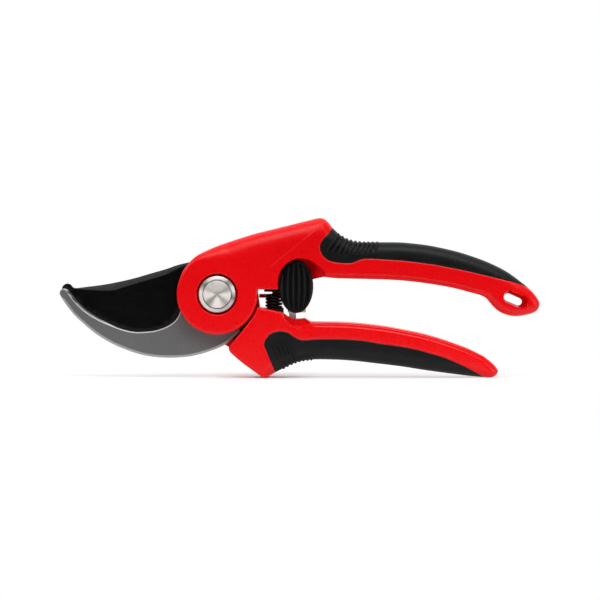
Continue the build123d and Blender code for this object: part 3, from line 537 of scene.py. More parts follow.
class Nodes:
    """Short calls that make and join the nodes of a tree."""

    def __init__(self, tree):
        self.tree = tree

    def feed(self, socket, value):
        """Links a socket from another one, or gives it a plain value."""
        if isinstance(value, bpy.types.NodeSocket):
            self.tree.links.new(value, socket)
        else:
            socket.default_value = value

    def node(self, kind, *values, **named):
        """A node with its inputs fed in order or by name; other names are the node's own settings."""
        made = self.tree.nodes.new(kind)
        for key, value in named.items():
            label = key.replace("_", " ")
            if label in made.inputs:
                self.feed(made.inputs[label], value)
            else:
                setattr(made, key, value)
        for socket, value in zip(made.inputs, values):
            self.feed(socket, value)
        return made

    def output(self, kind, *values, **named):
        """The first output of a new node."""
        return self.node(kind, *values, **named).outputs[0]

    def math(self, operation, *values):
        """One step of arithmetic."""
        return self.output("ShaderNodeMath", *values, operation=operation)

    def largest(self, found, *others):
        """The largest of several numbers."""
        for other in others:
            found = self.math("MAXIMUM", found, other)
        return found


class Finish(Nodes):
    """A node material with a Principled shader and short calls for its textures."""

    def __init__(self, name, **sockets):
        self.material = bpy.data.materials.new(name)
        self.material.use_nodes = True
        super().__init__(self.material.node_tree)
        self.shader = self.tree.nodes["Principled BSDF"]
        self.place = self.node("ShaderNodeTexCoord").outputs["Object"]
        for socket, value in sockets.items():
            self.shader.inputs[socket.replace("_", " ")].default_value = value

    def moved(self, place, **values):
        """A place that is moved, turned or stretched."""
        return self.output("ShaderNodeMapping", place, **values)

    def length(self, place):
        """Distance of a place from its zero."""
        return self.node("ShaderNodeVectorMath", place, operation="LENGTH").outputs["Value"]

    def noise(self, scale, detail=3.0, stretch=(1.0, 1.0, 1.0)):
        place = self.moved(self.place, Scale=stretch)
        return self.node("ShaderNodeTexNoise", Vector=place, Scale=scale, Detail=detail).outputs["Fac"]

    def ramp(self, source, low, high, start=0.35, end=0.65):
        """A number that runs from low to high while the source runs from start to end."""
        return self.output("ShaderNodeMapRange", source, start, end, low, high)

    def blend(self, share, first, second):
        """A colour between two others."""
        made = self.node("ShaderNodeMix", data_type="RGBA", Factor=share)
        for socket, value in zip(made.inputs[6:8], (first, second)):
            self.feed(socket, value if isinstance(value, bpy.types.NodeSocket) else (*value, 1.0))
        return made.outputs[2]

    def speckle(self, colour, scale, detail, dark, light):
        """A colour that wanders between a darker and a lighter shade."""
        share = self.ramp(self.noise(scale, detail), 0.0, 1.0)
        return self.blend(share, tint(colour, dark), tint(colour, light))

    def mark(self, name):
        """A value that the mesh holds at its points."""
        return self.node("ShaderNodeAttribute", attribute_name=name).outputs["Fac"]

    def colour(self, source):
        self.feed(self.shader.inputs["Base Color"], source)

    def rough(self, source):
        self.feed(self.shader.inputs["Roughness"], source)

    def bump(self, source, depth, strength, **under):
        """Fine relief, on top of another one where it is given as Normal."""
        made = self.output("ShaderNodeBump", Strength=strength, Distance=depth, Height=source, **under)
        self.feed(self.shader.inputs["Normal"], made)
        return made


def tint(colour, share):
    """A colour made lighter or darker."""
    return tuple(min(1.0, c * share) for c in colour)


def moulded_plastic(name, colour, roughness, shine=0.26):
    """Satin moulded plastic: faint flow marks in the colour, fine spark-eroded grain."""
    made = Finish(name, IOR=1.48, Specular_IOR_Level=shine)
    made.colour(made.speckle(colour, 26.0, 2.0, 0.98, 1.02))
    made.rough(made.ramp(made.noise(420.0), roughness - 0.03, roughness + 0.03))
    waves = made.bump(made.noise(60.0, 2.0), 0.00001, 0.25)
    made.bump(made.noise(2600.0, 2.0), 0.000003, 0.5, Normal=waves)
    return made.material


def soft_rubber(name, colour):
    """Matt soft overmoulding with a dusty bloom and a fine grain."""
    made = Finish(name, IOR=1.46, Specular_IOR_Level=0.2)
    made.colour(made.speckle(colour, 140.0, 4.0, 0.85, 1.2))
    made.rough(made.ramp(made.noise(900.0, 2.0), 0.38, 0.47))
    made.bump(made.noise(3200.0, 2.0), 0.00002, 0.6)
    return made.material


def blasted_steel(name, colour, bright):
    """Sand-blasted steel with painted light at its edges: a brighter band of painted highlight and
    reflection, and painted shade on the bevel beyond it.
    """
    made = Finish(name, Metallic=0.75)
    grain = made.speckle(colour, 1500.0, 4.0, 0.9, 1.1)
    cloudy = made.blend(made.ramp(made.noise(45.0), 0.0, 0.5), grain, tint(colour, 0.86))
    # Painted highlight and reflection lighten the edges; painted shade darkens the bevel.
    edge = made.mark("facet_and_sheen")
    made.colour(made.blend(made.mark("bevel_shade"), made.blend(edge, cloudy, bright), tint(colour, 0.36)))
    made.rough(made.ramp(edge, 0.62, 0.5, 0.0, 1.0))
    made.bump(made.noise(2400.0), 0.000012, 0.5)
    return made.material


def coated_steel(name, colour, facet):
    """Black low-friction coating, lighter along the spine facet, and with a painted reflection in a band
    beside the hook's edge.
    """
    made = Finish(name, IOR=1.45, Specular_IOR_Level=0.1)
    drawn = made.noise(700.0, 3.0, (0.2, 1.0, 1.6))
    plain = made.blend(made.ramp(drawn, 0.0, 1.0), tint(colour, 0.8), tint(colour, 1.25))
    # Lighter along the spine facet, and a painted reflection in the band beside the hook's edge.
    made.colour(made.blend(made.mark("facet_and_sheen"), plain, facet))
    made.rough(made.ramp(made.noise(300.0), 0.3, 0.4))
    made.bump(drawn, 0.000006, 0.5)
    return made.material


def painted_reflection_wedges(wedges, count=31):
    """Painted reflection round the pivot: brightness at each degree, full, and less where a painted dark
    wedge lies.
    """
    degrees = np.linspace(-180.0, 180.0, count)
    light = np.ones(count)
    for middle, half, depth in wedges:
        gap = np.abs((degrees - middle + 180.0) % 360.0 - 180.0)
        light -= depth * np.where(gap < half, 0.5 + 0.5 * np.cos(np.pi * gap / half), 0.0)
    return degrees, np.clip(light, 0.05, 1.0)


def turned_steel(name, colour, roughness, pitch, spread, wedges):
    """Face-turned steel: fine rings about the pivot line, and a painted reflection in its colour: wedges of
    light and dark round the pivot, painted shade on faces that turn away from the camera, and darker towards
    the middle.
    """
    made = Finish(name, Metallic=0.15, Anisotropic=spread, Anisotropic_Rotation=0.25)
    centred = made.moved(made.place, Location=(-PIVOT.x, 0.0, -PIVOT.z))
    ring = made.node("ShaderNodeTexWave", wave_type="RINGS", rings_direction="Y", Vector=centred,
                     Scale=0.314 / pitch, Distortion=0.4, Detail=2.0).outputs["Fac"]
    facing = made.moved(centred, Rotation=(math.radians(-90.0), 0.0, 0.0))
    angle = made.node("ShaderNodeTexGradient", gradient_type="RADIAL", Vector=facing).outputs["Fac"]
    light = made.node("ShaderNodeValToRGB", angle)
    degrees, levels = painted_reflection_wedges(wedges)
    stops = light.color_ramp.elements
    for place in degrees[1:-1]:
        stops.new(place / 360.0 + 0.5)
    for stop, level in zip(stops, levels):
        stop.color = (level, level, level, 1.0)
    # Painted reflection and shade: the wedges set the colour round the pivot, faces turned away from the
    # camera are painted nearly black, and the colour darkens towards the middle.
    normal = made.node("ShaderNodeSeparateXYZ", made.node("ShaderNodeNewGeometry").outputs["Normal"])
    flat_on = made.ramp(made.math("ABSOLUTE", normal.outputs["Y"]), 0.0, 1.0, 0.1, 0.6)
    reach = made.length(made.moved(centred, Scale=(1.0, 0.0, 1.0)))
    share = made.math("MULTIPLY", flat_on, light.outputs["Color"])
    share = made.math("MULTIPLY", made.ramp(reach, 0.45, 1.0, 0.0, 0.0021), share)
    made.colour(made.blend(share, tint(colour, 0.06), made.speckle(colour, 700.0, 2.0, 0.95, 1.04)))
    made.rough(made.ramp(ring, roughness - 0.03, roughness + 0.04, 0.0, 1.0))
    around = made.output("ShaderNodeTangent", direction_type="RADIAL", axis="Y")
    made.feed(made.shader.inputs["Tangent"], around)
    made.bump(ring, 0.000004, 0.4)
    return made.material


def plain_steel(name, colour, roughness, scale=500.0, metal=1.0):
    """Plated or blackened steel with a slight unevenness."""
    made = Finish(name, Metallic=metal)
    made.colour(made.speckle(colour, scale, 3.0, 0.86, 1.1))
    made.rough(made.ramp(made.noise(scale * 0.4), roughness - 0.05, roughness + 0.08))
    made.bump(made.noise(scale * 3.0, 2.0), 0.00001, 0.3)
    return made.material


_made = {}


def red_nylon():
    """The handles' red, made once."""
    if "red" not in _made:
        _made["red"] = moulded_plastic("red_nylon", tuple(bpy.context.scene.shears_moulding.red), 0.29)
    return _made["red"]


def grip_rubber():
    """The grips' black, made once."""
    if "grip" not in _made:
        _made["grip"] = soft_rubber("grip_rubber", tuple(bpy.context.scene.shears_grips.black))
    return _made["grip"]


# Sizes and colours


def colour_field(name, description, default):
    """A colour that a user may change."""
    return FloatVectorProperty(name=name, description=description, subtype="COLOR", size=3, default=default,
                               min=0.0, max=1.0)


def length_field(name, description, default, low, high):
    """A length that a user may change."""
    return FloatProperty(name=name, description=description, unit="LENGTH", default=default,
                         min=low, max=high)


def count_field(name, description, default, high):
    """A number of like features that a user may change."""
    return IntProperty(name=name, description=description, default=default, min=1, max=high)


class MouldingSizes(PropertyGroup):
    """Red mouldings of the two handles."""
    red: colour_field("Red", "Colour of the nylon handles", (0.80, 0.0022, 0.0046))
    crown: length_field("Crown", "Width of the rounding along the upper shoulder", 0.0076, 0.001, 0.01)
    boss: length_field("Boss rim", "Rounding of the boss", 0.0012, 0.0002, 0.003)
    inner: length_field("Inner edge", "Width of the inner edge's rounding", 0.0026, 0.001, 0.006)
    groove: length_field("Edge groove", "Depth of the fine line beside the inner edge", 0.00024, 0.0, 0.001)
    seam: length_field("Grip seam", "Depth of the line between nylon and grip", 0.0002, 0.0, 0.001)


class GripSizes(PropertyGroup):
    """Soft grips and their ribs."""
    black: colour_field("Black", "Colour of the soft grips", (0.0066, 0.0071, 0.0071))
    ribs: count_field("Thumb ribs", "Ribs over the top of the upper grip", 10, 20)
    teeth: count_field("Finger ribs", "Ribs under the lower grip", 8, 20)
    bars: count_field("Face bars", "Short bars on the lower grip's faces", 5, 9)
    rib_round: length_field("Rib radius", "Radius of a rib", 0.00066, 0.0002, 0.001)


class JawSizes(PropertyGroup):
    """Hook and cutting blade."""
    grey: colour_field("Hook grey", "Sand-blasted steel", (0.182, 0.182, 0.182))
    black: colour_field("Blade black", "Coating of the blade", (0.0032, 0.0032, 0.0033))
    # Width of the hook's bright band: a facet with a painted highlight on it.
    facet_and_sheen: length_field("Ground edge", "Width of the hook's bright edge", 0.0004, 0.0002, 0.002)
    slope: FloatProperty(name="Spine slope", description="Fall of the spine facet per millimetre",
                         default=0.24, min=0.05, max=0.4)


class PivotSizes(PropertyGroup):
    """Bolt, ring, washer and nut."""
    warm: colour_field("Bolt steel", "Face-turned bolt head", (0.98, 0.925, 0.87))
    ring: colour_field("Ring steel", "Polished ring", (0.95, 0.935, 0.915))
    head: length_field("Head radius", "Radius of the bolt head", 0.00595, 0.003, 0.0065)


class LockSizes(PropertyGroup):
    """Thumb lock."""
    black: colour_field("Lock black", "Colour of the lock's plastic", (0.0028, 0.003, 0.003))
    ridges: count_field("Ridges", "Upright ridges on the button", 6, 10)
    pitch: length_field("Ridge pitch", "Distance between ridges", 0.0025, 0.001, 0.004)
    ridge: length_field("Ridge radius", "Radius of a ridge", 0.00062, 0.0002, 0.001)


class SpringSizes(PropertyGroup):
    """Return spring."""
    turns: FloatProperty(name="Turns", description="Turns of wire", default=13.0, min=3.0, max=14.0)
    wire: length_field("Wire radius", "Radius of the wire", 0.000575, 0.0003, 0.0008)
    coil: length_field("Coil radius", "Radius to the middle of the wire", 0.00315, 0.002, 0.0035)
    open_turn: count_field("Open turn", "Turn above which the coil stands open", 7, 12)
    gap: length_field("Open gap", "Extra height of the open turn", 0.0013, 0.0, 0.003)


class StageSizes(PropertyGroup):
    """Camera and floor."""
    distance: length_field("Camera distance", "From the middle of the tool", 1.8, 0.3, 3.0)
    width: length_field("View width", "Width of the picture at the tool", 0.258, 0.2, 0.5)
    rise: FloatProperty(name="Camera height", description="Angle above the tool", subtype="ANGLE",
                        default=math.radians(1.6), min=0.0, max=1.0)
    floor: colour_field("Floor", "Colour of the floor", (0.9, 0.9, 0.9))


def mm(length):
    """Millimetres of a length property."""
    return length / MM


# Handles


def half_upper(points):
    """Half thickness of the upper handle along its length."""
    return np.interp(points[:, 0], [42.0, 56.0, 76.8, 92.0, 106.0, 118.0, 127.0, 138.4],
                     [HALF_THICK, 8.8, 8.7, 8.4, 7.8, 7.1, 6.7, 5.8])


def half_lower(points):
    """Half thickness of the lower handle along its length."""
    return np.interp(points[:, 0], [24.0, 40.0, 71.0, 87.0, 102.5, 114.5, 120.6],
                     [HALF_THICK, 8.75, 8.7, 8.4, 7.7, 6.7, 5.8])


def inner_edge(sizes):
    """The rounded edge beside the fingers, with a fine groove along it."""
    return edge_of(mm(sizes.inner), 1.3, mm(sizes.groove))


def face_of(outline, half):
    """A function for the height of a handle's rounded face."""
    def surface(spots):
        inward, edge = outline.measure(spots)
        return half(spots) - drop(np.maximum(inward, 0), edge)
    return surface


def plan_handle(outline, split, lines, spots, clear):
    """Plan of a handle and its grip, finer along edges and seam, with an even grid between."""
    fine = np.vstack([outline.rings(EDGE_SHARES), beside(split, SEAM_GAPS), *spots])
    grid = thin_out(grid_in(outline, 1.5, 1.0), clear, 0.9)
    return plan(lines, thin_out(np.vstack([fine, grid]), lines[1:], 0.1))


def seam_fall(points, split, depth):
    """The fine line between nylon and grip."""
    return depth * np.exp(-(nearest(points, split, False)[0] / 0.26) ** 2)


def recess_rim(radius):
    """Rounding of the recess round the pivot."""
    return drop(np.maximum(radius - RECESS_R, 0), edge_of(0.5, 0.5)) * (radius < 12)


def clothe(body, points, triangles, handle, rear, front, soft, paths, rib_round):
    """Lets a moulding ride on its body, and adds its grip and the grip's ribs."""
    dress(handle, red_nylon())
    settle(handle, body, "red_nylon", body + "_handle")
    grip = stack(body + "_grip_cover", points, triangles, [rear, front], [soft])
    dress(grip, grip_rubber())
    settle(grip, body, "soft_grip", body + "_grip")
    settle(rib_piece(body + "_grip_ribs", paths, rib_round), body, "soft_grip")


def slot_ends(centre, half):
    """Middles of the two round ends of a slot that lies along the tail."""
    along = half * np.array([math.cos(HANG_TILT), math.sin(HANG_TILT)])
    return np.array([centre - along, centre + along])


def slot_gap(points, centre, half, radius):
    """Distance outside a slot that lies along the tail."""
    return nearest(points, slot_ends(centre, half), False)[0] - radius


def slot_line(centre, half, radius, step=0.5):
    """Edge of a slot that lies along the tail."""
    tilt = math.degrees(HANG_TILT)
    left, right = slot_ends(centre, half)
    return np.vstack([arc_run(radius, tilt - 90, tilt + 90, step, right),
                      arc_run(radius, tilt + 90, tilt + 270, step, left)])


def hang_flare(points):
    """Fall of the face from the hanging hole's mouth down to its throat, longer towards the tail's end."""
    throat = np.maximum(slot_gap(points, HANG_AT, HANG_HALF, HANG_R), 0)
    mouth = np.maximum(-slot_gap(points, MOUTH_AT, MOUTH_HALF, MOUTH_R), 0)
    return FLARE_DEPTH * (mouth / np.maximum(mouth + throat, 1e-6)) ** 0.35 * (mouth > 0)


def well_edge():
    """Rim of the recess round the lock: close to the button on the left, a scoop on the right."""
    first, last = LOCK_RECESS[0], LOCK_RECESS[-1]
    below = first[1]
    rest = straight_run([last, (last[0], below), (first[0], below), first])
    return Outline([(smooth_run(LOCK_RECESS), edge_of(WELL_WALL, 1.0)), (rest, edge_of(WELL_WALL, 1.0))])


def well_height(points, rim):
    """Floor of the recess, rising to the right, with a steep wall up to its rim."""
    inward = rim.measure(points)[0]
    share = np.clip((points[:, 0] - WELL_RISE_FROM) / WELL_RISE_OVER, 0, 1)
    floor = WELL_FLOOR + WELL_RISE * share ** 1.3
    wall = np.clip(1 - inward / WELL_WALL, 0, 1)
    level = HALF_THICK + 0.2
    return np.where(inward > -1e-3, floor + (level - floor) * wall, level)


def crease(points):
    """The slight facet between the lock and the hump, a fine step that faces up."""
    start, end = np.array(CREASE_START), np.array(CREASE_TOWARDS)
    along = (end - start) / np.linalg.norm(end - start)
    right = points - start
    across = right[:, 0] * -along[1] + right[:, 1] * along[0]
    length = right @ along
    fade = np.clip((CREASE_LENGTH - length) / 3.5, 0, 1) * np.clip((length + 2.0) / 3.0, 0, 1)
    rise = np.clip(across / CREASE_STEP + 0.5, 0, 1)
    spread = np.exp(-(np.maximum(across, 0) / 6.0) ** 2)
    return -CREASE_DEPTH * fade * rise * rise * (3 - 2 * rise) * spread


class SHEARS_OT_upper(Operator):
    """Upper handle: red moulding with boss, lock dish, hanging hole and its soft grip"""
    bl_idname = "shears.upper"
    bl_label = "Upper handle"

    def execute(self, context):
        sizes, grips = context.scene.shears_moulding, context.scene.shears_grips
        outline = self.outline(sizes)
        split = smooth_run(UPPER_SPLIT)
        zone = np.vstack([split, [(150, 3), (150, 60), (60, 60)]])
        recess = circle(RECESS_R, 0.6)
        meet = on_circle(GAP_R, 45)
        behind = np.array([(0, 0), meet, meet + (-60, 60), (-120, 60), (-120, -60), (0, -60)], float)
        pocket = open_box(SPRING_LEFT, SPRING_RIGHT, -6, UPPER_POCKET_TOP)
        left, right, top = UPPER_SLOT
        slot = open_box(left, right, -6, top)
        stem = closed_run(STEM_WAY)
        rib = closed_run(GUARD_RIB)
        dish = well_edge()
        throat = slot_line(HANG_AT, HANG_HALF, HANG_R)
        mouth = slot_line(MOUTH_AT, MOUTH_HALF, MOUTH_R)
        line = straight_run([CREASE_START, CREASE_END], CREASE_STEP)
        lines = [(outline.points, True), (split, False), (recess, True), (circle(GAP_R), True),
                 (straight_run(behind[1:3]), False), (pocket, False), (slot, False), (stem, True),
                 (rib, True), (throat, True), (mouth, True), (dish.points, True),
                 *((beside(line, (k * CREASE_STEP,)), False) for k in (-0.5, 0.0, 0.5)),
                 *((circle(RECESS_R + k, 0.6), True) for k in (0.12, 0.28, 0.5))]
        round_mouth = (-0.6, -0.3, -0.12, -0.04, 0.06, 0.3)
        spots = [*(slot_line(HANG_AT, HANG_HALF, HANG_R + k) for k in (0.08, 0.22, 0.5, 0.9, 1.4, 2.0)),
                 *(slot_line(MOUTH_AT, MOUTH_HALF, MOUTH_R + k) for k in round_mouth),
                 beside(line, (-0.5, -0.1, 0.1, 0.5)), dish.rings((0.25, 0.5, 0.75, 1.0, 1.3)),
                 beside(smooth_run(LOCK_RECESS), (0.12, 0.35))]
        clear = [(split, False), (line, False), (recess, True), (throat, True)]
        points, triangles = plan_handle(outline, split, lines, spots, clear)

        distance, edge = outline.measure(points)
        radius = np.hypot(*points.T)
        within = distance > -1e-3
        fall = np.where(within, drop(np.maximum(distance, 0), edge), 0)
        fall = fall + seam_fall(points, split, mm(sizes.seam)) + hang_flare(points)
        full = half_upper(points)
        crests, feet = self.rib_ends(grips.ribs)
        bed = np.vstack([crests, feet[::-1]])
        sunk = np.where(inside(points, bed), np.clip(nearest(points, bed)[0] / 0.8, 0, 1), 0)
        fall = fall + RIB_BED * sunk
        well = well_height(points, dish)
        face = full - fall - recess_rim(radius) - crease(points)
        front = np.where(within, np.minimum(face, well), full)
        step = np.where(radius > GAP_R - 1e-3, drop(np.maximum(radius - GAP_R, 0), edge_of(0.7, 0.7)), 0)
        rear = np.where(within, -np.minimum(full - fall - step, well), -full)

        mid = points[triangles].mean(1)
        r = np.hypot(*mid.T)
        held = inside(mid, outline.points) & ~inside(mid, throat)
        soft = held & inside(mid, zone)
        body = held & ~inside(mid, zone) & ~inside(mid, stem)
        far = body & ~((r < GAP_R) | inside(mid, behind))
        in_pocket = (abs(mid[:, 0] - SPRING_U) < SPRING_ROOM) & (mid[:, 1] < UPPER_POCKET_TOP)
        hollow = in_pocket | ((mid[:, 0] > left) & (mid[:, 0] < right) & (mid[:, 1] < top))
        levels = [rear, RIB_FAR, -POCKET_HALF, -SLOT_HALF, LAP, SLOT_HALF, POCKET_HALF, RECESS_FLOOR, front]
        layers = [far, far | inside(mid, rib), far & ~in_pocket, far & ~hollow, body & ~hollow,
                  body & ~in_pocket, body, body & (r > RECESS_R)]
        handle = stack("upper_handle_moulding", points, triangles, levels, layers)
        surface = face_of(outline, half_upper)
        paths = [rib_path(crest, foot, surface) for crest, foot in zip(crests, feet)]
        clothe("upper", points, triangles, handle, rear, front, soft, paths, mm(grips.rib_round))
        return {"FINISHED"}

    def outline(self, sizes):
        """Edge of the handle, from the boss over the crown to the tail, and along the inner side back."""
        boss = edge_of(mm(sizes.boss), mm(sizes.boss))
        crown = edge_of(mm(sizes.crown), 5.2)
        slim = edge_of(0.6, 0.6)
        level = UPPER_WELL[-1][1]
        under = math.asin(level / UPPER_BOSS_R)
        over = smooth_run(UPPER_CROWN)
        first, second = np.searchsorted(over[:, 0], (-9.0, -1.0))
        return Outline([
            (arc_run(UPPER_BOSS_R, math.degrees(under), -200), boss), (over[:first + 1], edge_of(1.7, 1.6)),
            (over[first:second + 1], edge_of(4.2, 3.4)), (over[second:], crown),
            (smooth_run(UPPER_HUMP), crown), (smooth_run(UPPER_BACK), edge_of(5.2, 4.9)),
            (smooth_run(UPPER_TAIL), edge_of(3.4, 3.0)), (smooth_run(UPPER_INNER), inner_edge(sizes)),
            (smooth_run(UPPER_WELL), slim),
            (straight_run([UPPER_WELL[-1], (UPPER_BOSS_R * math.cos(under), level)]), slim)])

    def rib_ends(self, count):
        """Upper and lower ends of the thumb ribs."""
        top = smooth_run(UPPER_BACK, 0.1)
        share = np.arange(count) / max(1, count - 1)
        crests = np.array([top[np.abs(top[:, 0] - (51.9 + 16.7 * s)).argmin()] for s in share])
        crests[:, 1] -= np.interp(share, [0, 0.15, 0.3, 0.5, 0.65, 1], [0.5, 0.15, 0.0, 0.05, 0.3, 0.35])
        low = np.interp(share, [0, 0.25, 0.5, 0.75, 1], [18.4, 16.9, 17.0, 17.8, 18.6])
        return crests, np.stack([46.7 + 21.2 * share, low], -1)


class SHEARS_OT_lower(Operator):
    """Lower handle: red moulding with foot, slit and back boss, and its soft grip"""
    bl_idname = "shears.lower"
    bl_label = "Lower handle"

    def execute(self, context):
        sizes, grips = context.scene.shears_moulding, context.scene.shears_grips
        outline = self.outline(sizes)
        split = smooth_run(LOWER_SPLIT)
        zone = np.vstack([split, [(116, -60), (30, -60)]])
        neck = closed_run([(0, 0), (BOSS_R, 0), (18.3, -5.8), (22, -14), (12, -29.4), LOWER_HEEL[1],
                           LOWER_HEEL[0], on_circle(BOSS_R, -118)])
        pocket = open_box(SPRING_LEFT, SPRING_RIGHT, 0, LOWER_POCKET_FLOOR)
        slot = closed_run(LOWER_SLOT)
        scoop = oval_run(SCOOP_AT, SCOOP_HALF)
        slit_wall = straight_run([(SLIT_U, -30), (SLIT_U, 0)])
        lines = [(outline.points, True), (split, False), (circle(RECESS_R, 0.6), True),
                 (circle(BOSS_R), True), (neck, True), (arc_run(SLIT_R, -100, 20), False),
                 (slit_wall, False), (pocket, False), (slot, True), (scoop, True)]
        spots = [*(circle(BOSS_R - k) for k in (0.06, 0.3, 0.7, 1.2)),
                 *(circle(RECESS_R + k, 0.7) for k in (0.08, 0.25, 0.5, 2.5, 4.5, 6.5)),
                 *(oval_run(SCOOP_AT, np.add(SCOOP_HALF, k)) for k in (-1.6, -1.25, -0.9, -0.6, -0.3, 0.3))]
        points, triangles = plan_handle(outline, split, lines, spots, [(split, False), (scoop, True)])

        distance, edge = outline.measure(points)
        radius = np.hypot(*points.T)
        neck_in = np.where(inside(points, neck), nearest(points, neck)[0], -1)
        within = distance > -1e-3
        seam = seam_fall(points, split, mm(sizes.seam))
        full = half_lower(points)
        reach = np.hypot(*((points - SCOOP_AT) / SCOOP_HALF).T)
        hollow = np.clip((1 - reach) / 0.12, 0, 1)
        dish = HALF_THICK - SCOOP_DEPTH * hollow * hollow * (3 - 2 * hollow) - SCOOP_STEP * (reach < 0.995)
        front = np.where(within, np.minimum(full - drop(np.maximum(distance, 0), edge) - seam, dish), full)
        union = np.maximum(np.maximum(distance, BOSS_R - radius), neck_in)
        depth = np.maximum(union, 0)
        fall = np.where(distance >= union - 1e-6, drop(depth, edge), drop(depth, edge_of(1.2, 1.2)))
        face = full - fall - seam * within - recess_rim(radius)
        rear = np.where(union > -1e-3, -np.minimum(face, dish), -full)

        mid = points[triangles].mean(1)
        r = np.hypot(*mid.T)
        held = inside(mid, outline.points)
        soft = held & inside(mid, zone)
        near = held & ~soft
        far = (held | (r < BOSS_R) | inside(mid, neck)) & ~soft
        clear_of_slit = near & ~((r < SLIT_R) & (mid[:, 0] < SLIT_U))
        in_pocket = (abs(mid[:, 0] - SPRING_U) < SPRING_ROOM) & (mid[:, 1] > LOWER_POCKET_FLOOR)
        hollow = in_pocket | inside(mid, slot)
        levels = [rear, -POCKET_HALF, -SLOT_HALF, -LAP, SLOT_HALF, SLIT_TOP, POCKET_HALF, front]
        layers = [far & (r > RECESS_R), far & ~in_pocket, far & ~hollow, clear_of_slit & ~hollow,
                  clear_of_slit & ~in_pocket, near & ~in_pocket, near]
        handle = stack("lower_handle_moulding", points, triangles, levels, layers)
        paths = self.rib_paths(grips, face_of(outline, half_lower))
        clothe("lower", points, triangles, handle, rear, front, soft, paths, mm(grips.rib_round) * 0.85)
        return {"FINISHED"}

    def outline(self, sizes):
        """Edge of the handle, from its neck round the foot and along the belly to the tail and back."""
        slim, foot = edge_of(0.8, 0.8), edge_of(1.2, 1.2)
        corner = np.array(LOWER_HEEL[0])
        meet = math.degrees(math.atan2(corner[1], corner[0]) + math.acos(GAP_R / np.linalg.norm(corner)))
        start = arc_run(GAP_R, -17.6, meet)
        return Outline([
            (start, slim), (straight_run([start[-1], corner]), slim), (smooth_run(LOWER_HEEL), foot),
            (smooth_run(LOWER_FOOT), foot), (smooth_run(LOWER_BELLY), edge_of(5.0, 4.6)),
            (smooth_run(LOWER_TAIL), edge_of(3.2, 2.8)), (smooth_run(LOWER_INNER), inner_edge(sizes)),
            (straight_run(LOWER_LIP), slim), (smooth_run(LOWER_SCOOP), slim),
            (straight_run([LOWER_SCOOP[-1], start[0]]), slim)], 3.0)

    def rib_paths(self, grips, surface):
        """Ribs over the belly's edge, and short bars on both faces."""
        under = smooth_run(LOWER_BELLY, 0.1)
        paths = []
        for share in np.arange(grips.teeth) / max(1, grips.teeth - 1):
            crest = under[np.abs(under[:, 0] - (28.4 + 11.9 * share)).argmin()] + (0.1, 0.22)
            foot = crest + np.array((-0.9 + 0.6 * share, 2.6 - 0.8 * share))
            paths.append(rib_path(crest, foot, surface))
        for share in np.arange(grips.bars) / max(1, grips.bars - 1):
            upper = np.array((24.4 + 7.2 * share, -22.4 - 0.5 * share + 1.6 * math.sin(math.pi * share)))
            lower = upper + np.array((2.7, -5.4)) * (1 - 0.3 * share)
            spots = upper + (lower - upper) * np.linspace(0, 1, 10)[:, None]
            for side in (1, -1):
                paths.append(at(spots, side * (surface(spots) + 0.07)))
        return paths


def rib_path(crest, foot, surface):
    """Points of a rib that runs up one face, over the edge and down the other."""
    share = np.linspace(0, 1, 22) ** 1.6
    spots = crest + (foot - crest) * share[:, None]
    depth = surface(spots)
    depth[-1] -= RIB_SINK
    return np.vstack([at(spots[::-1], depth[::-1]), at(spots, -depth)])


# Ribs, ridges and the spring by geometry nodes


class Growth(Nodes):
    """A geometry tree whose inputs hold a piece's sizes; it is run once and kept as a plain mesh."""

    def __init__(self, name, sizes):
        super().__init__(bpy.data.node_groups.new(name, "GeometryNodeTree"))
        self.sizes = sizes
        sockets = self.tree.interface
        sockets.new_socket("Geometry", in_out="INPUT", socket_type="NodeSocketGeometry")
        for label, size in sizes.items():
            kind = "NodeSocketInt" if isinstance(size, int) else "NodeSocketFloat"
            sockets.new_socket(label, in_out="INPUT", socket_type=kind).default_value = size
        sockets.new_socket("Geometry", in_out="OUTPUT", socket_type="NodeSocketGeometry")
        self.given = self.node("NodeGroupInput").outputs

    def tube(self, path, radius, sides):
        """A round bar along a curve."""
        ring = self.output("GeometryNodeCurvePrimitiveCircle", Radius=radius, Resolution=sides)
        return self.output("GeometryNodeCurveToMesh", Curve=path, Profile_Curve=ring, Fill_Caps=True)

    def grow(self, name, mesh, source, material):
        """Ends the tree in smooth, real faces with a material, and runs it on a mesh."""
        smooth = self.output("GeometryNodeSetShadeSmooth", Geometry=source)
        real = self.output("GeometryNodeRealizeInstances", Geometry=smooth)
        self.node("NodeGroupOutput",
                  Geometry=self.output("GeometryNodeSetMaterial", Geometry=real, Material=material))
        seed = bpy.data.objects.new(name + "_seed", mesh)
        bpy.context.scene.collection.objects.link(seed)
        step = seed.modifiers.new("grow", "NODES")
        step.node_group = self.tree
        for item in self.tree.interface.items_tree:
            if item.name in self.sizes:
                step[item.identifier] = self.sizes[item.name]
        view = bpy.context.evaluated_depsgraph_get()
        made = bpy.data.meshes.new_from_object(seed.evaluated_get(view))
        seed.modifiers.remove(step)
        bpy.data.objects.remove(seed)
        piece = bpy.data.objects.new(name, made)
        bpy.context.scene.collection.objects.link(piece)
        return piece


def rib_piece(name, paths, radius):
    """Rounded bars that follow paths over a grip's surface."""
    verts, edges = [], []
    for path in paths:
        edges += [(len(verts) + k, len(verts) + k + 1) for k in range(len(path) - 1)]
        verts += [tuple(p) for p in path]
    mesh = bpy.data.meshes.new(name)
    mesh.from_pydata(verts, edges, [])
    tree = Growth(name, {"Rib radius": radius * MM, "Sides": 10})
    line = tree.output("GeometryNodeMeshToCurve", Mesh=tree.given["Geometry"])
    even = tree.output("GeometryNodeResampleCurve", mode="LENGTH", Curve=line, Length=0.0005)
    bars = tree.tube(even, tree.given["Rib radius"], tree.given["Sides"])
    return tree.grow(name, mesh, bars, grip_rubber())


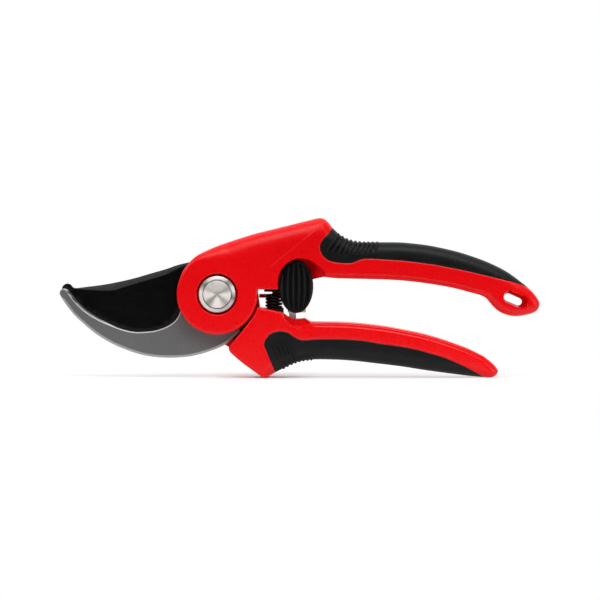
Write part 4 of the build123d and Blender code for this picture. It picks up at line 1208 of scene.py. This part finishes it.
class SHEARS_OT_spring(Operator):
    """Return spring between the handles, and its two seats"""
    bl_idname = "shears.spring"
    bl_label = "Return spring"

    def execute(self, context):
        sizes = context.scene.shears_spring
        low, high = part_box("return_spring")
        middle = (low.x + high.x) / 2
        rise = (high.z - low.z) - 2 * sizes.wire - sizes.gap
        tree = Growth("coil_of_wire", {
            "Turns": sizes.turns, "Coil radius": sizes.coil, "Wire radius": sizes.wire, "Rise": rise,
            "Open from": (sizes.open_turn - 1 / 6) / sizes.turns,
            "Open to": (sizes.open_turn + 1 / 6) / sizes.turns, "Open gap": sizes.gap})
        given = tree.given
        coil = tree.output("GeometryNodeCurveSpiral", Resolution=48, Rotations=given["Turns"],
                           Start_Radius=given["Coil radius"], End_Radius=given["Coil radius"],
                           Height=given["Rise"])
        climb = tree.output("ShaderNodeMapRange", tree.output("GeometryNodeSplineParameter"),
                            interpolation_type="SMOOTHSTEP", From_Min=given["Open from"],
                            From_Max=given["Open to"], To_Max=given["Open gap"])
        lift = tree.output("ShaderNodeCombineXYZ", Z=climb)
        opened = tree.output("GeometryNodeSetPosition", Geometry=coil, Offset=lift)
        foot = (middle, (low.y + high.y) / 2, low.z + sizes.wire)
        placed = tree.output("GeometryNodeTransform", Geometry=tree.tube(opened, given["Wire radius"], 16),
                             Translation=foot)
        wire = plain_steel("black_wire", (0.03, 0.03, 0.031), 0.36)
        spring = tree.grow("return_spring_coil", bpy.data.meshes.new("coil_seed"), placed, wire)
        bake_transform(spring)
        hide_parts("return_spring")
        nylon = moulded_plastic("seat_nylon", (0.006, 0.006, 0.0065), 0.45)
        for node in ("upper_spring_seat", "lower_spring_seat"):
            dress(NODES[node], nylon)
        bore, wall = POCKET_RIM
        for body, start, end in (("upper", 0.9, 6.0), ("lower", -9.0, -6.1)):
            section = [(bore, start), (wall, start), (wall, end), (bore, end), (bore, start)]
            rim = lathe(body + "_pocket_rim", section, 64, upright=SPRING_U)
            dress(rim, nylon)
            settle(rim, body, "black_nylon")
        return {"FINISHED"}


class SHEARS_OT_lock(Operator):
    """Thumb lock: ridged button, slide, back plate, screw and leaf spring"""
    bl_idname = "shears.lock"
    bl_label = "Thumb lock"

    def execute(self, context):
        sizes = context.scene.shears_lock
        plastic = moulded_plastic("lock_nylon", tuple(sizes.black), 0.36, 0.12)
        button = self.oval("lock_button_body", BUTTON_AT, BUTTON_HALF, 1, 8.05)
        dress(button, plastic)
        settle(button, "lock", "black_nylon", "lock_button")
        plate = self.oval("lock_plate_body", LOCK_AT, PLATE_HALF, -1, 8.4)
        dress(plate, plastic)
        settle(plate, "lock", "black_nylon", "lock_plate")
        # Ridges: a lighter copy of the button's black, a painted highlight on the ridges.
        ridges = self.ridges(sizes, moulded_plastic("ridge_nylon", tint(sizes.black, 4.0), 0.36, 0.12))
        settle(ridges, "lock", "black_nylon")
        # Slide and screw: pale steel, much paler than the zinc of the nut; partly bright plating, partly
        # painted light against the shade under the button.
        steel = plain_steel("lock_steel", (0.86, 0.87, 0.89), 0.4, metal=0.4)
        for node in ("lock_slide", "lock_screw"):
            dress(NODES[node], steel)
        dress(NODES["lock_leaf"], plain_steel("leaf_steel", (0.03, 0.03, 0.031), 0.3))
        return {"FINISHED"}

    def oval(self, name, centre, half, side, face):
        """A domed oval with a thick middle and a thin rim, and its stem to the slide."""
        line = oval_run(centre, half, 0.6)
        outline = Outline([(np.vstack([line, line[:1]]), edge_of(1.3, 1.0))])
        middle = (LOCK_AT[0], STEM_W)
        stem = closed_run(np.array([(-1, -1), (1, -1), (1, 1), (-1, 1)]) * STEM_HALF) + middle
        hole = circle(SCREW_HOLE_R, 0.4, middle)
        lines = [(outline.points, True), (stem, True), (hole, True)]
        spots = np.vstack([outline.rings((0.04, 0.14, 0.3, 0.55, 1.0)), grid_in(outline, 0.9, 1.0)])
        points, triangles = plan(lines, thin_out(spots, lines[1:], 0.12))
        distance, edge = outline.measure(points)
        reach = np.hypot(*((points - centre) / half).T)
        top = face - 0.35 * reach ** 2 - drop(np.maximum(distance, 0), edge)
        floor = np.minimum(5.25 + 1.5 * np.clip((reach - 0.55) / 0.45, 0, 1) ** 1.5, top - 0.3)
        mid = points[triangles].mean(1)
        held = inside(mid, outline.points)
        inner = inside(mid, stem) & held
        base = np.full(len(points), STEM_END)
        if side > 0:
            return stack(name, points, triangles, [base, floor, top], [inner, held])
        layers = [held & ~inside(mid, hole), held, inner]
        return stack(name, points, triangles, [-top, SCREW_SEAT, -floor, -base], layers)

    def ridges(self, sizes, plastic):
        """Upright ridges whose length follows the oval and whose ends draw in."""
        tree = Growth("button_ridges", {
            "Count": sizes.ridges, "Pitch": sizes.pitch, "Ridge radius": sizes.ridge,
            "Half width": BUTTON_HALF[0] * MM, "Half height": (BUTTON_HALF[1] - 0.9) * MM})
        given, math_of = tree.given, tree.math
        span = math_of("MULTIPLY", given["Pitch"], math_of("SUBTRACT", given["Count"], 1.0))
        first = tree.output("ShaderNodeCombineXYZ", math_of("MULTIPLY", span, -0.5))
        row = tree.output("GeometryNodeMeshLine", Count=given["Count"], Start_Location=first,
                          Offset=tree.output("ShaderNodeCombineXYZ", given["Pitch"]))
        bar = tree.output("GeometryNodeMeshUVSphere", Segments=14, Rings=20, Radius=1.0)
        place = tree.node("ShaderNodeSeparateXYZ", tree.output("GeometryNodeInputPosition")).outputs
        across = math_of("DIVIDE", place["X"], given["Half width"])
        chord = math_of("SQRT", math_of("SUBTRACT", 1.0, math_of("MULTIPLY", across, across)))
        size = tree.output("ShaderNodeCombineXYZ", given["Ridge radius"],
                           math_of("MULTIPLY", given["Ridge radius"], 0.9),
                           math_of("MULTIPLY", chord, given["Half height"]))
        put = tree.output("GeometryNodeInstanceOnPoints", Points=row, Instance=bar, Scale=size)
        whole = tree.output("GeometryNodeRealizeInstances", put)
        high = math_of("DIVIDE", place["Z"], given["Half height"])
        draw_in = math_of("SUBTRACT", 1.0, math_of("MULTIPLY", math_of("MULTIPLY", high, high), 0.32))
        bowed = tree.output("ShaderNodeCombineXYZ", math_of("MULTIPLY", place["X"], draw_in),
                            place["Y"], place["Z"])
        bow = tree.output("GeometryNodeSetPosition", Geometry=whole, Position=bowed)
        placed = tree.output("GeometryNodeTransform", Geometry=bow, Translation=at(BUTTON_AT, RIDGE_FACE))
        return tree.grow("lock_button_ridges", bpy.data.meshes.new("ridge_seed"), placed, plastic)


# Jaws and pivot


def bevel_width(points):
    """Width of the bevel along the hook's inner edge, which runs out away from the tip; the bevel is
    darkened with painted shade.
    """
    return np.interp(points[:, 0], [-65.9, -64.6, -62.0, -52.0, -43.0], [0.0, 0.75, 1.0, 0.75, 0.0])


class SHEARS_OT_jaws(Operator):
    """Hook with a painted highlight along its edges and coated cutting blade with its facets"""
    bl_idname = "shears.jaws"
    bl_label = "Jaws"

    def execute(self, context):
        sizes = context.scene.shears_jaws
        outline = self.hook(sizes)
        self.blade(sizes, outline)
        pin = plain_steel("pin_steel", (0.5, 0.5, 0.51), 0.3)
        for node in ("hook_dowel_near", "hook_dowel_far", "blade_dowel_near", "blade_dowel_far"):
            dress(NODES[node], pin)
        return {"FINISHED"}

    def hook(self, sizes):
        """The hook, with painted shade on a bevel and a painted highlight along its inner side; returns its
        outline.
        """
        wide = mm(sizes.facet_and_sheen)
        dull = edge_of(0.35, 0.3, flat=0.5)
        rim = edge_of(0.95, 0.4, flat=0.8)
        tip = edge_of(0.45, 0.3, flat=0.5)
        arch = arc_run(JAW_BOSS_R, 188, 72)
        flank = arc_run(JAW_BOSS_R, 28, -52)
        ground_line = smooth_run(HOOK_INNER, 0.6)
        extra = bevel_width(ground_line)
        inner = ground_line + sideways(ground_line) * extra[:, None]
        fine = wide * np.interp(inner[:, 0], [-64.0, -42.0], [0.55, 1.0])
        bevels = [(inner[k:k + 2], edge_of(fine[k] + extra[k], fine[k] * 0.6 + 0.7 * extra[k], flat=1.0))
                  for k in range(len(inner) - 1)]
        outer = smooth_run(HOOK_OUTER, 0.6)
        outline = Outline([
            *bevels, (straight_run([HOOK_INNER[-1], arch[0]]), dull), (arch, dull),
            (straight_run([arch[-1], *HOOK_TANG, flank[0]]), dull), (flank, dull),
            (straight_run([flank[-1], HOOK_OUTER[0]]), dull), (outer, rim),
            (smooth_run(HOOK_TIP, 0.3), tip)], 1.2, 0.6)
        ground_line = ground_line[:60]
        lines = [(outline.points, True), (circle(HOOK_EYE_R, 0.6), True), (ground_line, False),
                 (beside(ground_line, (-0.06,)), False)]
        spots = np.vstack([outline.rings((0.35, 0.7, 1.0, 1.15)), grid_in(outline, 1.8, 1.3)])
        points, triangles = plan(lines, thin_out(spots, lines[1:], 0.12))
        distance, edge = outline.measure(points)
        mid = points[triangles].mean(1)
        held = inside(mid, outline.points) & (np.hypot(*mid.T) > HOOK_EYE_R)
        face = HOOK_FACE - drop(np.maximum(distance, 0), edge)
        above = inside(points, np.vstack([HOOK_INNER, [(-20, 40), (-90, 40)]]))
        # Painted shade on the bevel above the inner edge, beyond the bright band.
        bevel_shade_share = np.clip((edge[:, 0] - wide - 0.3) / 0.3, 0, 1) * above
        on_edge = distance < edge[:, 0] * 1.02
        by_rim = nearest(points, outer, False)[0] < rim[0] * 1.02
        # Painted highlight along every edge, strongest on the inner band, and a painted reflection of the
        # floor along the outer rim.
        shine = np.where(by_rim, 0.42, 0.5 * (2 * edge[:, 3] - 0.5) / 1.5) * on_edge
        rear = np.full(len(points), LAP)
        hook = stack("hook_jaw", points, triangles, [rear, face], [held], {"facet_and_sheen": shine, "bevel_shade": bevel_shade_share})
        dress(hook, blasted_steel("blasted_steel", tuple(sizes.grey), (0.7, 0.7, 0.69)))
        settle(hook, "upper", "blasted_steel", "hook_blade")
        return outline

    def blade(self, sizes, hook):
        """The cutting blade: a facet along its spine and a slight one beside the hook's inner edge."""
        crown = arc_run(JAW_BOSS_R, 112, -35)
        plain = edge_of(0.3, 0.2, flat=0.5)
        outline = Outline([
            (smooth_run(BLADE_EDGE, 0.7), edge_of(6.0, 2.4, flat=1.0)),
            (smooth_run(BLADE_NOSE, 0.3), plain), (straight_run([BLADE_NOSE[-1], BLADE_SPINE[0]]), plain),
            (smooth_run(BLADE_SPINE, 0.7), plain),
            (straight_run([BLADE_SPINE[-1], crown[0]]), plain), (crown, plain),
            (straight_run([crown[-1], *BLADE_TANG, BLADE_EDGE[0]]), plain)], 1.0, 0.7)
        facet = smooth_run(BLADE_FACET, 0.7)
        above = np.vstack([facet, [(-6, 40), (-61.6, 40)]])
        sweep = beside(smooth_run(HOOK_INNER[4:]), (-BAND_WIDTH,))
        lines = [(outline.points, True), (circle(BLADE_EYE_R, 0.6), True), (facet, False), (sweep, False)]
        spots = np.vstack([outline.rings((1.0,)), beside(facet, (-0.12, 0.12)),
                           beside(sweep, (-0.15, 0.15)), grid_in(outline, 1.7, 0.2)])
        points, triangles = plan(lines, thin_out(spots, lines[1:], 0.08))
        distance, edge = outline.measure(points)
        lift = np.where(inside(points, above), nearest(points, facet, False)[0], 0)
        hollow = nearest(points, smooth_run(HOOK_INNER), False)[0]
        covered = inside(points, hook.points)
        band = np.clip(BAND_WIDTH - np.where(covered, -hollow, hollow), 0, 6) * (points[:, 0] < -14)
        face = -LAP - sizes.slope * lift - 0.06 * band - drop(np.maximum(distance, 0), plain)
        rear = np.minimum(BLADE_REAR + drop(np.maximum(distance, 0), edge), face - 0.12)
        mid = points[triangles].mean(1)
        held = inside(mid, outline.points) & (np.hypot(*mid.T) > BLADE_EYE_R)
        # The spine facet is coloured lighter, and the band beside the hook's inner edge carries a painted
        # reflection.
        facet_and_reflection = np.clip(lift / 0.12, 0, 1) + 0.45 * np.clip(band / 0.15, 0, 1) * (lift == 0)
        marks = {"facet_and_sheen": np.clip(facet_and_reflection, 0, 1)}
        blade = stack("cutting_jaw", points, triangles, [rear, face], [held], marks)
        dress(blade, coated_steel("black_coating", tuple(sizes.black), (0.033, 0.033, 0.034)))
        settle(blade, "lower", "coated_steel", "cutting_blade")


class SHEARS_OT_pivot(Operator):
    """Pivot bolt with its spun head, polished ring, bush, washer and lock nut"""
    bl_idname = "shears.pivot"
    bl_label = "Pivot"

    def execute(self, context):
        sizes = context.scene.shears_pivot
        r = mm(sizes.head)
        bolt = lathe("pivot_bolt_turned", [
            (0.0, 8.9), (1.0, 8.9), (3.0, 8.88), (r - 0.1, 8.85), (r - 0.04, 8.82), (r, 8.72), (r, 6.6),
            (SHANK_R, 6.6), (SHANK_R, -8.35), (3.6, -8.8), (1.0, -8.8), (0.0, -8.55)])
        # Painted reflection: the head's light and dark wedges are painted into its colour.
        dress(bolt, turned_steel("spun_steel", tuple(sizes.warm), 0.35, 0.00012, 0.95, BOLT_PAINTED_REFLECTION))
        settle(bolt, "upper", "turned_steel", "pivot_bolt")
        bore = r + 0.28
        ring = lathe("pivot_ring_polished", [
            (bore, 6.65), (bore, 8.5), (r + 0.3, 8.53), (r + 0.35, 8.55), (7.5, 8.34), (7.78, 8.1),
            (7.9, 7.6), (7.9, 6.0), (4.05, 6.0), (4.05, 6.55), (bore, 6.55), (bore, 6.65)])
        # Painted reflection: the ring's light and dark wedges are painted into its colour.
        dress(ring, turned_steel("polished_ring", tuple(sizes.ring), 0.3, 0.0003, 0.6, RING_PAINTED_REFLECTION))
        settle(ring, "upper", "polished_steel", "pivot_collar")

        def hexagon(angle):
            return NUT_FLATS / np.cos((angle + math.pi / 6) % (math.pi / 3) - math.pi / 6)

        nut = lathe("pivot_nut_hexagon", [
            (SHANK_R, -5.4), (8.0, -5.4), (8.0, -8.15), (7.1, -8.55), (6.3, -8.8), (5.35, -8.8),
            (5.35, -7.7), (SHANK_R, -7.7), (SHANK_R, -5.4)], 144, reach=hexagon)
        zinc = plain_steel("zinc_plate", (0.45, 0.46, 0.48), 0.3)
        dress(nut, zinc)
        settle(nut, "upper", "zinc_steel", "pivot_nut")
        dress(NODES["pivot_washer"], zinc)
        dress(NODES["pivot_bush"], plain_steel("sintered_bronze", (0.42, 0.25, 0.11), 0.4))
        dress(NODES["nut_insert"], moulded_plastic("insert_nylon", (0.6, 0.6, 0.55), 0.4))
        return {"FINISHED"}


# Stage


class SHEARS_OT_stage(Operator):
    """Camera, pale floor and soft studio light"""
    bl_idname = "shears.stage"
    bl_label = "Stage"

    def execute(self, context):
        scene, sizes = context.scene, context.scene.shears_stage
        scene.view_settings.view_transform = "Standard"
        aim = Vector(at(VIEW_AT, 0.0))
        eye = bpy.data.cameras.new("camera")
        eye.sensor_width = 36.0
        eye.lens = 36.0 * sizes.distance / sizes.width
        camera = bpy.data.objects.new("camera", eye)
        camera.location = aim + Vector((0, -math.cos(sizes.rise), math.sin(sizes.rise))) * sizes.distance
        camera.rotation_euler = (aim - camera.location).to_track_quat("-Z", "Y").to_euler()
        scene.collection.objects.link(camera)
        scene.camera = camera
        self.floor(scene, sizes)
        self.lamp(scene, "top_box", (0.05, 0.08, 1.0), (0.0, 0.0, 0.03), 1.2, 0.6, 5.2, False)
        self.lamp(scene, "front_box", (0.16, -0.62, 0.92), (0.0, 0.0, 0.03), 1.0, 0.6, 7.9)
        self.lamp(scene, "left_box", (-0.8, -0.52, 0.72), (-0.02, 0.0, 0.03), 0.4, 0.5, 3.6)
        self.lamp(scene, "right_box", (0.98, -0.6, 0.2), (0.02, 0.0, 0.03), 0.5, 0.5, 2.6)
        self.sky(scene)
        return {"FINISHED"}

    def floor(self, scene, sizes):
        """A wide pale floor that turns plain white away from the tool, and half so away from its foot."""
        count, middle, wide, deep = 96, 0.1, 0.44, 0.22
        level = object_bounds()[0].z - 0.00002
        turns = [2 * math.pi * k / count for k in range(count)]
        ring = [(wide * math.cos(turn), middle + deep * math.sin(turn), level) for turn in turns]
        mesh = bpy.data.meshes.new("floor")
        mesh.from_pydata(ring, [], [tuple(range(count))])
        made = Finish("pale_floor", Roughness=0.9, Specular_IOR_Level=0.1, Base_Color=(*sizes.floor, 1.0))
        even = made.moved(made.place, Location=(0.0, -middle / deep, 0.0),
                          Scale=(1.0 / wide, 1.0 / deep, 0.0))
        far = made.ramp(made.length(even), 0.0, 1.0, 0.52, 0.88)
        foot = made.moved(made.place, Location=(-PIVOT.x - FOOT_U * MM, 0.0, 0.0), Scale=(1.0, 0.0, 0.0))
        clear = made.ramp(made.length(foot), 0.0, 0.55, 0.002, 0.024)
        rays = made.node("ShaderNodeLightPath").outputs
        seen = made.largest(rays["Is Camera Ray"], rays["Is Glossy Ray"], rays["Is Transmission Ray"])
        share = made.math("MULTIPLY", made.largest(far, clear), seen)
        glow = made.output("ShaderNodeEmission", Strength=1.0)
        mix = made.output("ShaderNodeMixShader", share, made.shader.outputs[0], glow)
        made.feed(made.tree.nodes["Material Output"].inputs["Surface"], mix)
        mesh.materials.append(made.material)
        floor = bpy.data.objects.new("floor", mesh)
        scene.collection.objects.link(floor)
        floor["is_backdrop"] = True

    def lamp(self, scene, name, place, aim, width, height, power, mirrored=True):
        """A soft box that shines from a place at a point."""
        data = bpy.data.lights.new(name, "AREA")
        data.shape = "RECTANGLE"
        data.size, data.size_y, data.energy = width, height, power
        lamp = bpy.data.objects.new(name, data)
        lamp.location = place
        lamp.rotation_euler = (Vector(aim) - Vector(place)).to_track_quat("-Z", "Y").to_euler()
        lamp.visible_glossy = mirrored
        scene.collection.objects.link(lamp)

    def sky(self, scene):
        """White to the camera; a soft room behind and above for light and reflections, darker in front."""
        world = bpy.data.worlds.new("studio")
        scene.world = world
        world.use_nodes = True
        sky = Nodes(world.node_tree)
        sky.tree.nodes.clear()
        place = sky.node("ShaderNodeTexCoord").outputs["Generated"]
        side = sky.node("ShaderNodeSeparateXYZ", place).outputs
        back = sky.output("ShaderNodeMapRange", side["Y"], -0.05, 0.7, 0.02, 0.8)
        above = sky.output("ShaderNodeMapRange", side["Z"], 0.6, 1.0, 0.0, 0.6)
        room = sky.output("ShaderNodeBackground", Strength=sky.largest(back, above))
        white = sky.output("ShaderNodeBackground", Color=(1, 1, 1, 1))
        rays = sky.node("ShaderNodeLightPath").outputs
        behind = sky.output("ShaderNodeMapRange", side["Y"], -0.1, 0.2)
        mirrored = sky.math("MULTIPLY", rays["Is Glossy Ray"], behind)
        seen = sky.largest(mirrored, rays["Is Camera Ray"], rays["Is Transmission Ray"])
        sky.node("ShaderNodeOutputWorld", Surface=sky.output("ShaderNodeMixShader", seen, room, white))


OPERATORS = (SHEARS_OT_upper, SHEARS_OT_lower, SHEARS_OT_jaws, SHEARS_OT_pivot, SHEARS_OT_spring,
             SHEARS_OT_lock, SHEARS_OT_stage)
GROUPS = {"shears_moulding": MouldingSizes, "shears_grips": GripSizes, "shears_jaws": JawSizes,
          "shears_pivot": PivotSizes, "shears_lock": LockSizes, "shears_spring": SpringSizes,
          "shears_stage": StageSizes}


class SHEARS_PT_pieces(Panel):
    """The pieces of the shears and their sizes"""
    bl_idname = "SHEARS_PT_pieces"
    bl_label = "Pruning shears"
    bl_space_type = "VIEW_3D"
    bl_region_type = "UI"
    bl_category = "Shears"

    def draw(self, context):
        for operator in OPERATORS:
            self.layout.operator(operator.bl_idname)
        for name, group in GROUPS.items():
            box = self.layout.box()
            for field in group.__annotations__:
                box.prop(getattr(context.scene, name), field)


def register():
    for item in (*GROUPS.values(), *OPERATORS, SHEARS_PT_pieces):
        bpy.utils.register_class(item)
    for name, group in GROUPS.items():
        setattr(bpy.types.Scene, name, PointerProperty(type=group))


def unregister():
    for name in GROUPS:
        delattr(bpy.types.Scene, name)
    for item in (SHEARS_PT_pieces, *OPERATORS[::-1], *list(GROUPS.values())[::-1]):
        bpy.utils.unregister_class(item)


def main():
    register()
    bpy.ops.shears.upper()
    bpy.ops.shears.lower()
    bpy.ops.shears.jaws()
    bpy.ops.shears.pivot()
    bpy.ops.shears.spring()
    bpy.ops.shears.lock()
    bpy.ops.shears.stage()


if __name__ == "__main__":
    main()
